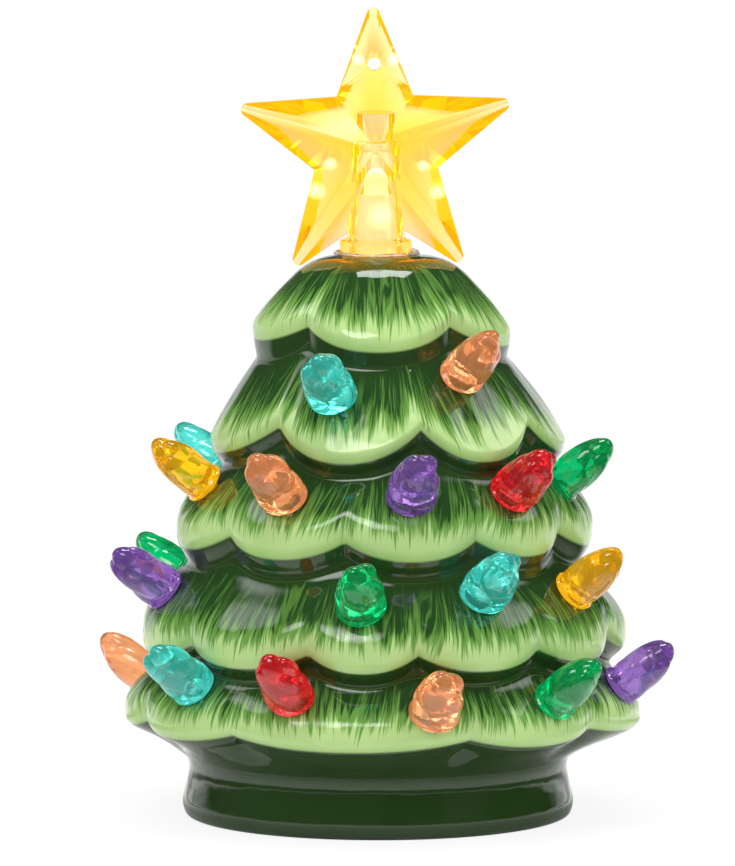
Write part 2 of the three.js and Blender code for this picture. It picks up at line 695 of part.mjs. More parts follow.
// Sleeve that stands in the crown's hole and holds the lamp up inside the star.
const holderRadius = STAR_BORE_RADIUS - SEAT_GAP;
const socketRadius = LAMP_FLANGE_RADIUS + SEAT_GAP;
const socketBottom = holderTop - LAMP_SOCKET_DEPTH;
const holder = turned([
  [HOLDER_WIRE_BORE, CROWN_HEIGHT - HOLDER_SPIGOT_LENGTH],
  [HOLDER_SPIGOT_RADIUS, CROWN_HEIGHT - HOLDER_SPIGOT_LENGTH],
  [HOLDER_SPIGOT_RADIUS, flangeBottom],
  [holderRadius, flangeBottom],
  [holderRadius, holderTop],
  [socketRadius, holderTop],
  [socketRadius, socketBottom],
  [HOLDER_WIRE_BORE, socketBottom],
  [HOLDER_WIRE_BORE, CROWN_HEIGHT - HOLDER_SPIGOT_LENGTH],
], SMALL_FACETS);
addPiece('star_led_holder', holder, materials.frostedPlastic).position.x = STAR_X;

// Lamp with a flange at its foot and a domed top, standing at z = 0.
function lampSolid() {
  const domeStart = LAMP_HEIGHT - LAMP_RADIUS;
  const points = [[0, 0], [LAMP_FLANGE_RADIUS, 0], [LAMP_FLANGE_RADIUS, LAMP_FLANGE_HEIGHT]];
  points.push([LAMP_RADIUS, LAMP_FLANGE_HEIGHT]);
  for (const lift of [0, 35, 65]) {
    const angle = radians(lift);
    points.push([LAMP_RADIUS * Math.cos(angle), domeStart + LAMP_RADIUS * Math.sin(angle)]);
  }
  points.push([0, LAMP_HEIGHT]);
  return turned(points, SMALL_FACETS);
}

const lamp = lampSolid();
addPiece('star_led', lamp, materials.lamp).position.set(STAR_X, 0, starLampBottom);

// Battery housing

const hingeX = -doorLength / 2; // the door turns about the outer edge of its plate
const hookBarTop = ledgeHeight + HOOK_BAR;
const hookBottom = hookBarTop + SEAT_GAP;
const hookTop = hookBottom + HOOK_THICKNESS;
const hookYs = [-HOOK_SPACING / 2, HOOK_SPACING / 2];
const screwXs = [-SCREW_SPACING / 2, SCREW_SPACING / 2];
const screwTipHeight = boardBottom - SCREW_BITE;
const endWall = bayHalf + PLASTIC_WALL;

// The cells lie side by side, and two of the contacts reach up through the ceiling as solder tabs.
const cellY = (number) => (number - (CELL_COUNT - 1) / 2) * cellPitch;
const tabs = [
  { end: 1, y: cellY(0) },
  { end: -1, y: cellY(2) },
];

let housing = joined(
  disc(housingRadius, PLATE_RECESS, plateTop, ROUND_FACETS),
  ring(housingRadius - PLASTIC_WALL, housingRadius, PLATE_RECESS, skirtTop),
  roundedBlock(2 * endWall, bayWidth + 2 * PLASTIC_WALL, BAY_CORNER + PLASTIC_WALL, PLATE_RECESS, bayTop),
  ...screwXs.map((x) => disc(POST_RADIUS, bayTop - 1, bayTop + POST_HEIGHT).translate([x, 0, 0])),
  ...[-1, 1].map((side) => {
    const inner = side * (SWITCH_LENGTH / 2 + SEAT_GAP);
    const outer = inner + side * PLASTIC_WALL;
    const [x0, x1] = [inner, outer].sort((a, b) => a - b);
    const halfWidth = SWITCH_WIDTH / 2;
    return block(x0, x1, switchY - halfWidth, switchY + halfWidth, plateTop - 1, switchTop);
  }),
);
housing = cut(
  housing,
  roundedBlock(bayLength, bayWidth, BAY_CORNER, -1, ceilingHeight),
  roundedBlock(doorLength + 2 * SEAT_GAP, doorWidth + 2 * SEAT_GAP, BAY_CORNER + DOOR_LEDGE, -1, ledgeHeight),
  disc(NAIL_SCOOP_RADIUS, -1, PLATE_RECESS + NAIL_SCOOP_DEPTH, 24).translate([doorLength / 2, 0, 0]),
  ...hookYs.map((y) => {
    const half = HOOK_WIDTH / 2 + SEAT_GAP;
    return block(-endWall - 1, -bayHalf + 1, y - half, y + half, hookBarTop, hookTop + 2 * SEAT_GAP);
  }),
  ...tabs.map(({ end, y }) => {
    const half = CONTACT_TAB_WIDTH / 2 + SEAT_GAP;
    const slotDepth = CONTACT_THICKNESS + 2 * SEAT_GAP;
    const middle = end * (bayHalf - slotDepth / 2);
    const [x0, x1] = [middle - slotDepth / 2, middle + slotDepth / 2];
    return block(x0, x1, y - half, y + half, ceilingHeight - 1, bayTop + 1);
  }),
  ...screwXs.map((x) =>
    disc(SCREW_SHANK_RADIUS + SEAT_GAP, screwTipHeight - SEAT_GAP, boardTop, 8).translate([x, 0, 0])),
  block(
    -(KNOB_LENGTH + SWITCH_TRAVEL) / 2 - SEAT_GAP,
    (KNOB_LENGTH + SWITCH_TRAVEL) / 2 + SEAT_GAP,
    switchY - KNOB_WIDTH / 2 - SEAT_GAP,
    switchY + KNOB_WIDTH / 2 + SEAT_GAP,
    -1,
    plateTop + 1,
  ),
);
addPiece('battery_housing', housing, materials.whitePlastic);

// Silicone that fills the corner between the top of the skirt and the ceramic.
const beadInner = bayCornerRadius + SEAT_GAP;
const beadBottom = skirtTop + SEAT_GAP;
const bead = turned([
  [beadInner, beadBottom],
  [openingRadius - SEAT_GAP, beadBottom],
  [openingRadius - SEAT_GAP, beadBottom + BEAD_HEIGHT],
  [(beadInner + openingRadius) / 2, beadBottom + BEAD_HEIGHT / 2],
  [beadInner, beadBottom],
], ROUND_FACETS);
addPiece('silicone_bead', bead, materials.silicone);

// Battery door: a plate with two hooks at the hinge end and a snap arm at the other.
const snapOuter = bayHalf - SWING_GAP;
const snapTop = contactBottom - SEAT_GAP;
const bumpTop = snapTop - SNAP_BUMP;
const bumpBottom = bumpTop - SNAP_BUMP_HEIGHT;
const hookRoot = -bayHalf + SEAT_GAP;
const door = joined(
  roundedBlock(doorLength, doorWidth, BAY_CORNER + DOOR_LEDGE - SEAT_GAP, PLATE_RECESS, doorTop),
  ...hookYs.map((y) => {
    const half = HOOK_WIDTH / 2;
    const riser = block(hookRoot, hookRoot + HOOK_ROOT, y - half, y + half, doorTop - FUSE, hookTop);
    const hook = block(hingeX - HOOK_REACH, hookRoot + FUSE, y - half, y + half, hookBottom, hookTop);
    return riser.add(hook);
  }),
  block(snapOuter - SNAP_THICKNESS, snapOuter, -SNAP_WIDTH / 2, SNAP_WIDTH / 2, doorTop - FUSE, snapTop),
  block(snapOuter - FUSE, snapOuter + SNAP_BUMP, -SNAP_WIDTH / 3, SNAP_WIDTH / 3, bumpBottom, bumpTop),
  ...hookYs.map((y) => {
    const half = DOOR_RIB_WIDTH / 2;
    const ribTop = doorTop + DOOR_RIB_HEIGHT;
    return block(-bayLength / 3, bayLength / 3, y - half, y + half, doorTop - FUSE, ribTop);
  }),
);
addPiece('battery_door', door, materials.whitePlastic);

// Cells, with the nub of each towards its flat contact
function cellSolid() {
  const body = CELL_LENGTH - CELL_NUB_LENGTH;
  const radius = CELL_DIAMETER / 2;
  return turned([
    [0, 0],
    [radius - CELL_ROUNDING, 0],
    [radius, CELL_ROUNDING],
    [radius, body - CELL_ROUNDING],
    [radius - CELL_ROUNDING, body],
    [CELL_NUB_RADIUS, body],
    [CELL_NUB_RADIUS, CELL_LENGTH],
    [0, CELL_LENGTH],
  ], 20);
}

const cell = cellSolid();
const flatEnd = bayHalf - CONTACT_THICKNESS - 2 * SEAT_GAP;
for (let i = 0; i < CELL_COUNT; i += 1) {
  const towards = i % 2 === 0 ? 1 : -1;
  const mesh = addPiece(`battery_${i + 1}`, cell, materials.cellJacket);
  mesh.rotation.y = (towards * Math.PI) / 2;
  mesh.position.set(towards * (flatEnd - CELL_LENGTH), cellY(i), cellHeight);
}

// Contacts: a sheet plate at one end of the bay, some with a spring, some with a solder tab.
const plateInner = bayHalf - SEAT_GAP - CONTACT_THICKNESS;

function conicalSpring() {
  const stepsInTurn = 8;
  const steps = SPRING_TURNS * stepsInTurn;
  const sunk = 0.4 * SPRING_WIRE; // the first turn lies this far into its plate
  const rise = SPRING_LENGTH - SPRING_WIRE;
  const points = [];
  for (let i = 0; i <= steps; i += 1) {
    const angle = (2 * Math.PI * i) / stepsInTurn;
    const radius = THREE.MathUtils.lerp(SPRING_RADIUS, SPRING_TIP_RADIUS, i / steps);
    points.push([radius * Math.cos(angle), radius * Math.sin(angle), (rise * i) / steps + sunk]);
  }
  return alongPath(points, SPRING_WIRE / 2, steps);
}

const spring = conicalSpring();

function contact(name, end, cells, springCell, tabbed) {
  const ys = cells.map(cellY);
  const half = CONTACT_WIDTH / 2;
  const middle = end * (plateInner + CONTACT_THICKNESS / 2);
  const [x0, x1] = [middle - CONTACT_THICKNESS / 2, middle + CONTACT_THICKNESS / 2];
  let solid = block(x0, x1, Math.min(...ys) - half, Math.max(...ys) + half, contactBottom, contactTop);
  if (springCell !== null) {
    const lying = spring.rotate([0, -end * 90, 0]);
    solid = solid.add(lying.translate([end * plateInner, cellY(springCell), cellHeight]));
  }
  if (tabbed) {
    const tabHalf = CONTACT_TAB_WIDTH / 2;
    const top = bayTop + CONTACT_TAB_RISE;
    solid = solid.add(block(x0, x1, ys[0] - tabHalf, ys[0] + tabHalf, contactTop - 1, top));
  }
  addPiece(name, solid, materials.spring);
}

contact('contact_positive', 1, [0], null, true);
contact('contact_bridge_1', -1, [0, 1], 0, false);
contact('contact_bridge_2', 1, [1, 2], 1, false);
contact('contact_negative', -1, [2], 2, true);

// Lamp board, its screws and lamps
const board = cut(
  disc(BOARD_RADIUS, boardBottom, boardTop, ROUND_FACETS),
  ...screwXs.map((x) =>
    disc(SCREW_SHANK_RADIUS + SEAT_GAP, boardBottom - 1, boardTop + 1, 8).translate([x, 0, 0])),
);
addPiece('led_board', board, materials.circuitBoard);

const screwHeadBottom = boardTop + SEAT_GAP;
const screw = turned([
  [0, screwTipHeight],
  [SCREW_SHANK_RADIUS, screwTipHeight + SCREW_SHANK_RADIUS],
  [SCREW_SHANK_RADIUS, screwHeadBottom],
  [SCREW_HEAD_RADIUS, screwHeadBottom],
  [SCREW_HEAD_RADIUS, screwHeadBottom + SCREW_HEAD_HEIGHT / 2],
  [SCREW_HEAD_RADIUS - SCREW_HEAD_HEIGHT / 2, screwHeadBottom + SCREW_HEAD_HEIGHT],
  [0, screwHeadBottom + SCREW_HEAD_HEIGHT],
]);
screwXs.forEach((x, i) => {
  addPiece(`board_screw_${i + 1}`, screw, materials.steel).position.x = x;
});

for (let i = 0; i < BOARD_LAMP_COUNT; i += 1) {
  const bearing = radians(180 + (360 * i) / BOARD_LAMP_COUNT);
  const mesh = addPiece(`tree_led_${i + 1}`, lamp, materials.lamp);
  const [x, y] = [BOARD_LAMP_CIRCLE * Math.sin(bearing), -BOARD_LAMP_CIRCLE * Math.cos(bearing)];
  mesh.position.set(x, y, boardTop + SEAT_GAP);
}

// Slide switch: a body over the plate, and a knob that reaches down through the slot.
const pocketHalfLength = (KNOB_LENGTH + SWITCH_TRAVEL) / 2 + KNOB_SHOULDER + SEAT_GAP;
const pocketHalfWidth = KNOB_WIDTH / 2 + KNOB_SHOULDER + SEAT_GAP;
const pocketTop = switchBottom + SWITCH_HEIGHT / 2;
const switchPins = [-SWITCH_PIN_SPACING, 0, SWITCH_PIN_SPACING];
const switchHalf = SWITCH_LENGTH / 2;
const switchBody = joined(
  cut(
    block(-switchHalf, switchHalf, -SWITCH_WIDTH / 2, SWITCH_WIDTH / 2, switchBottom, switchTop),
    block(
      -pocketHalfLength,
      pocketHalfLength,
      -pocketHalfWidth,
      pocketHalfWidth,
      switchBottom - 1,
      pocketTop,
    ),
  ),
  ...switchPins.map((x) => {
    const [wide, thin] = [SWITCH_PIN_WIDTH / 2, SWITCH_PIN_WIDTH / 4];
    return block(x - wide, x + wide, -thin, thin, switchTop - FUSE, switchTop + SWITCH_PIN_LENGTH);
  }),
);
addPiece('switch_body', switchBody, materials.steel).position.y = switchY;

const knobBottom = KNOB_CLEAR_OF_TABLE;
const knobHalf = KNOB_LENGTH / 2;
const knobFlange = knobHalf + KNOB_SHOULDER;
const knob = joined(
  block(-knobHalf, knobHalf, -KNOB_WIDTH / 2, KNOB_WIDTH / 2, knobBottom, pocketTop - SEAT_GAP),
  block(
    -knobFlange,
    knobFlange,
    -KNOB_WIDTH / 2 - KNOB_SHOULDER,
    KNOB_WIDTH / 2 + KNOB_SHOULDER,
    switchBottom,
    pocketTop - SEAT_GAP,
  ),
);
const grips = [-KNOB_GRIP_PITCH, 0, KNOB_GRIP_PITCH].map((x) => {
  const half = KNOB_GRIP_WIDTH / 2;
  return block(x - half, x + half, -KNOB_WIDTH, KNOB_WIDTH, knobBottom - 1, knobBottom + KNOB_GRIP_DEPTH);
});
const knobMesh = addPiece('switch_knob', cut(knob, ...grips), materials.blackPlastic);
knobMesh.position.set(-SWITCH_TRAVEL / 2, switchY, 0);

// Leads inside the base and up to the star
const onBoard = boardTop + SEAT_GAP;
const tabTip = bayTop + CONTACT_TAB_RISE + SEAT_GAP + WIRE_RADIUS;
const tabX = plateInner + CONTACT_THICKNESS / 2;
const pinTip = switchTop + SWITCH_PIN_LENGTH + SEAT_GAP;

function lead(name, points, material, steps = 12) {
  addPiece(name, alongPath(points, WIRE_RADIUS, steps), material);
}

lead('switch_wire_1', [
  [tabX, tabs[0].y, tabTip - WIRE_RADIUS],
  [tabX, tabs[0].y, tabTip + 1.5],
  [tabX - 3, tabs[0].y - 6, tabTip + 2],
  [SWITCH_LENGTH, switchY + 1, pinTip + 5],
  [SWITCH_PIN_SPACING + 1, switchY, pinTip + 4],
  [SWITCH_PIN_SPACING, switchY, pinTip],
], materials.redWire);
lead('switch_wire_2', [
  [0, switchY, pinTip],
  [0, switchY, pinTip + 5],
  [-2, switchY + 3, onBoard + 2],
  [-3.4, -BOARD_RADIUS + 0.6, onBoard + 3.4],
  [-3.6, -BOARD_RADIUS + 3, onBoard],
], materials.redWire);
lead('battery_wire_negative', [
  [-tabX, tabs[1].y, tabTip - WIRE_RADIUS],
  [-tabX, tabs[1].y, tabTip + 1.5],
  [-tabX + 4, tabs[1].y - 2, onBoard + 3],
  [-BOARD_RADIUS + 2.4, tabs[1].y / 2, onBoard + 3],
  [-BOARD_RADIUS + 4.4, tabs[1].y / 2, onBoard],
], materials.blackWire);

const starLeads = [
  ['star_wire_positive', 1, materials.redWire],
  ['star_wire_negative', -1, materials.blackWire],
];
for (const [name, side, material] of starLeads) {
  const x = (side * STAR_WIRE_SPACING) / 2;
  const top = starLampBottom - SEAT_GAP;
  lead(name, [
    [2 * x, 0, onBoard],
    [2.4 * x, 0, onBoard + 0.1 * (top - onBoard)],
    [2 * x, 1.5, onBoard + 0.4 * (top - onBoard)],
    [1.5 * x + STAR_X, 0.5, onBoard + 0.7 * (top - onBoard)],
    [x + STAR_X, 0, CROWN_HEIGHT - HOLDER_SPIGOT_LENGTH - 2],
    [x + STAR_X, 0, top],
  ], material, 14);
}

export default lantern;
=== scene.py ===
"""A glazed ceramic Christmas tree lantern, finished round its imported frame.

Metres, +Z up, the front faces -Y. Sizes are written in millimetres and multiplied by MM. A bearing is in
degrees from the front towards +X.
"""

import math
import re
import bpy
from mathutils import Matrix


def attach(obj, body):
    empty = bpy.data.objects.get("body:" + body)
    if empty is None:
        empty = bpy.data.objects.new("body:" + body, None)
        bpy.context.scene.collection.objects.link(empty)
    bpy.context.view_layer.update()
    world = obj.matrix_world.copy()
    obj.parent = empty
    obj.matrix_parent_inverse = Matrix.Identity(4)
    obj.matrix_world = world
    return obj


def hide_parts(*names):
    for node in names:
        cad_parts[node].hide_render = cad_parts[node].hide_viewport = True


bl_info = {
    "name": "Ceramic Tree Lantern",
    "version": (1, 0, 0),
    "blender": (4, 5, 0),
    "location": "View3D > Sidebar > Lantern",
    "description": "Makes the glazed tree, its bulbs, the lit star and the battery base",
    "category": "Object",
}

from functools import partial

import bmesh
import bpy
import numpy as np
from bpy.props import FloatProperty, FloatVectorProperty, IntProperty, PointerProperty
from mathutils import Matrix, Vector

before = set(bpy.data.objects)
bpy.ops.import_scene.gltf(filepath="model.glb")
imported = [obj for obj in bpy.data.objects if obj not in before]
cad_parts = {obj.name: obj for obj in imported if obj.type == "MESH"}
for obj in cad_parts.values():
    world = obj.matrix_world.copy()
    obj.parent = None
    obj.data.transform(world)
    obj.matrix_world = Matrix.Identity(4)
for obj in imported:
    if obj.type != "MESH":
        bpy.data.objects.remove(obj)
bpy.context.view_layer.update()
MM = 0.001

# Shell, as the frame has it, in millimetres
CROWN_RADIUS = 13.9
CROWN_HEIGHT = 105.9
CROWN_ROUNDING = 2.2
CROWN_DROP = 1.3
CROWN_THICKNESS = 4.6
CROWN_HOLE_RADIUS = 3.0
FOOT_RADIUS = 35.51
FOOT_OPENING_RADIUS = 31.91
FOOT_FLARE = 1.4
FOOT_FLARE_HEIGHT = 2.6
NECK_OUT = 0.1
NECK_HEIGHT = 10.3
NECK_COVE = 0.6
HOLLOW_SILL = 2.6
SHELL_WALL = 4
RIM_ROLL = 1.7
ROLL_REACH = 0.35
LOBE_SHARPNESS = 2.2
# each tier from the top down: its edge's radius and height, the shoulder over it, how far a cusp is lifted,
# the groove below, how strongly the shoulder fills the slope, how far the tier stands to the right, the
# bearings of its cusps, how many lobes lie behind them, and which lobes are drawn up
TIERS = [
    {"rim": 24.4, "low": 89.4, "shoulder": 3.6, "lift": 4.4, "groove": 23.6, "groove_height": 86,
     "weight": 1.05, "shift": 0.6, "cusps": [-38, 35, 116], "back_lobes": 3, "raised": {4: 1.4}},
    {"rim": 33.4, "low": 69.4, "shoulder": 6.4, "lift": 6.2, "groove": 30.9, "groove_height": 66.2,
     "weight": 0.2, "shift": 1.8, "cusps": [-118, -40.5, 11.3, 57, 107], "back_lobes": 3},
    {"rim": 39.8, "low": 52.2, "shoulder": 6.0, "lift": 3.4, "groove": 37.2, "groove_height": 47.8,
     "weight": 2.0, "shift": 0.75, "cusps": [-88, -49, -10.6, 27.5, 61, 98], "back_lobes": 4},
    {"rim": 46.1, "low": 32.2, "shoulder": 6.6, "lift": 3.1, "groove": 42.3, "groove_height": 29,
     "weight": 2.0, "shift": 0.75, "cusps": [-87, -54, -18.2, 8.7, 41.3, 72.7, 104], "back_lobes": 5},
    {"rim": 48.9, "low": 18, "shoulder": 5.4, "lift": 1.8, "groove": 42.0, "groove_height": 14.9,
     "weight": 2.0, "shift": 1.1, "cusps": [-96, -72.3, -37.5, 20, 55.4, 98], "back_lobes": 5},
]

# Bulbs
BULB_TILT = 38
BULB_LENGTH = 13
BULB_FLATNESS = 0.86
PEG_RADIUS = 1.7
PEG_LENGTH = 6.4
FOOT_RINGS = [(4.45, 0.0), (4.72, 0.22), (4.75, 0.6), (4.5, 0.85)]
BUD_HEART = 4.6
# a petal is part of an egg: how far out its middle is, its bearing and height, its half width out from the
# axis, round it and along it, and how far it leans inwards and to one side, in millimetres and degrees
PETALS = [
    (0.0, 0, 4.2, 4.2, 4.2, 5.4, 0, 0),
    (0.5, 40, 7.6, 3.25, 3.5, 5.3, 3, 12),
    (1.75, 15, 4.4, 3.15, 3.75, 6.3, 9, 22),
    (1.6, 105, 5.1, 3.15, 3.7, 6.7, 9, 24),
    (1.75, 190, 4.5, 3.15, 3.75, 6.0, 8, 20),
    (1.6, 285, 5.7, 3.1, 3.7, 6.5, 10, 26),
]

# Star topper
STAR_X = -0.4
STAR_CENTRE = 125.8
STAR_RADIUS = 26.4
STAR_SHARP_RADIUS = 28.6
STAR_NOTCH_RADIUS = 12.2
STAR_LEAN = 1.15
STAR_DEPTH = 13.5
STAR_EDGE = 2.4
STAR_EYE_RADIUS = 1.2
STAR_EYE_ABOVE_CENTRE = 15.9
# where the facets glint, across from the star's middle and above the table, and how wide
STAR_GLINTS = [(-8.4, 123.1, 1.5), (-11.0, 117.9, 2.0), (8.8, 122.7, 1.3), (11.4, 117.7, 1.8),
               (-3.1, 142.4, 1.3), (3.2, 142.4, 1.5)]
STEM_RADIUS = 5.5
STEM_TOP_BELOW_CENTRE = 3.5
STAR_BORE_RADIUS = 4.15
STAR_BORE_ABOVE_CENTRE = 0.9
BORE_TOP_RADIUS = 3.2
BORE_TOP_LENGTH = 5.5
FLANGE_RADIUS = 6.8
FLANGE_BOTTOM = 106.2
FLANGE_HEIGHT = 2.6
GLUE_WIDTH = 1.0
GLUE_HEIGHT = 0.8
HOLDER_TOP = 117.4
HOLDER_RADIUS = 3.85
HOLDER_SPIGOT_RADIUS = 2.7
HOLDER_SPIGOT_LENGTH = 6.5
HOLDER_WIRE_BORE = 1.7
LAMP_BOTTOM = 113.9
LAMP_RADIUS = 2.5
LAMP_FLANGE_RADIUS = 2.9
LAMP_FLANGE_HEIGHT = 1
LAMP_HEIGHT = 8.6

# Photograph's camera
CAMERA_PLACE = (-0.00197, -1.25, 0.18)
CAMERA_PITCH = 85.071
CAMERA_LENS = 276.9
CAMERA_SENSOR = 36


# Colours and nodes

def linear(hex_colour):
    """Turns an sRGB colour such as #24401C into linear RGBA."""
    channels = [int(hex_colour[i:i + 2], 16) / 255 for i in (1, 3, 5)]
    decoded = [c / 12.92 if c <= 0.04045 else ((c + 0.055) / 1.055) ** 2.4 for c in channels]
    return (*decoded, 1.0)


# Kinds of node that are used often, each with the setting that its name tells. The inputs of a range are its
# value, the two ends that it runs between, and the two ends that these are turned to
(ADD, SUBTRACT, MULTIPLY, DIVIDE, MULTIPLY_ADD, MAXIMUM, ABSOLUTE, LESS_THAN, COMPARE, ARCTAN2, ARCSINE,
 RADIANS) = (("ShaderNodeMath", {"operation": choice}) for choice in (
    "ADD", "SUBTRACT", "MULTIPLY", "DIVIDE", "MULTIPLY_ADD", "MAXIMUM", "ABSOLUTE", "LESS_THAN", "COMPARE",
    "ARCTAN2", "ARCSINE", "RADIANS"))
(ADD_VECTORS, MULTIPLY_VECTORS, MULTIPLY_ADD_VECTORS, SCALE, CROSS_PRODUCT, NORMALIZE, DISTANCE, LENGTH,
 DOT_PRODUCT) = (("ShaderNodeVectorMath", {"operation": choice}) for choice in (
    "ADD", "MULTIPLY", "MULTIPLY_ADD", "SCALE", "CROSS_PRODUCT", "NORMALIZE", "DISTANCE", "LENGTH",
    "DOT_PRODUCT"))
MIX_COLOURS, MIX_NUMBERS, MIX_PLACES = (
    ("ShaderNodeMix", {"data_type": choice}) for choice in ("RGBA", "FLOAT", "VECTOR"))
EVEN_RANGE, SMOOTH_RANGE = (
    ("ShaderNodeMapRange", {"interpolation_type": choice}) for choice in ("LINEAR", "SMOOTHSTEP"))
NOISE = ("ShaderNodeTexNoise", {"noise_dimensions": "3D"})
XYZ = ("ShaderNodeCombineXYZ", {})
SPLIT_XYZ = ("ShaderNodeSeparateXYZ", {})
COORDS = ("ShaderNodeTexCoord", {})


def add_node(tree, kind, *feeds, **settings):
    """Adds a node, sets its settings and feeds its inputs.

    kind is a type of node, alone or in a pair with settings. Feeds go to the inputs in their order, and a
    dictionary says which inputs it feeds. Another node feeds its first output.
    """
    node_type, preset = kind if isinstance(kind, tuple) else (kind, {})
    made = tree.nodes.new(node_type)
    for name, value in {**preset, **settings}.items():
        setattr(made, name, value)
    fed = {}
    for place, feed in enumerate(feeds):
        fed.update(feed if isinstance(feed, dict) else {place: feed})
    for key, value in fed.items():
        if isinstance(value, bpy.types.Node):
            value = value.outputs[0]
        if isinstance(value, bpy.types.NodeSocket):
            tree.links.new(value, made.inputs[key])
        else:
            made.inputs[key].default_value = value
    return made


def blank_material(name, constants):
    """A material with one Principled shader, whose plain values are set on its own sockets."""
    material = bpy.data.materials.new(name)
    material.use_nodes = True
    tree = material.node_tree
    shader = tree.nodes["Principled BSDF"]
    for socket, value in constants.items():
        shader.inputs[socket].default_value = value
    return material, tree, shader


def ripple(tree, shader, wave_mm, depth_mm):
    """Lets a surface rise and fall a little, in soft waves."""
    coords = add_node(tree, COORDS)
    waves = add_node(tree, NOISE, coords.outputs["Object"], {"Scale": 1 / (wave_mm * MM), "Detail": 1.0})
    relief = add_node(tree, "ShaderNodeBump", {"Height": waves, "Strength": 1.0, "Distance": depth_mm * MM})
    tree.links.new(relief.outputs["Normal"], shader.inputs["Normal"])


def speckled(name, constants, dark, pale, grain_mm, bump_mm):
    """A moulded, drawn or printed surface whose tone varies by a fine grain, which is its relief too."""
    material, tree, shader = blank_material(name, constants)
    add = partial(add_node, tree)
    place = add(COORDS)
    grain = add(NOISE, place.outputs["Object"], {
        "Scale": 1 / (grain_mm * MM), "Detail": 3.0, "Roughness": 0.55})
    tone = add(MIX_COLOURS, grain, {6: linear(dark), 7: linear(pale)})
    relief = add("ShaderNodeBump", {"Height": grain, "Strength": 1.0, "Distance": bump_mm * MM})
    tree.links.new(tone.outputs[2], shader.inputs["Base Color"])
    tree.links.new(relief.outputs["Normal"], shader.inputs["Normal"])
    return material


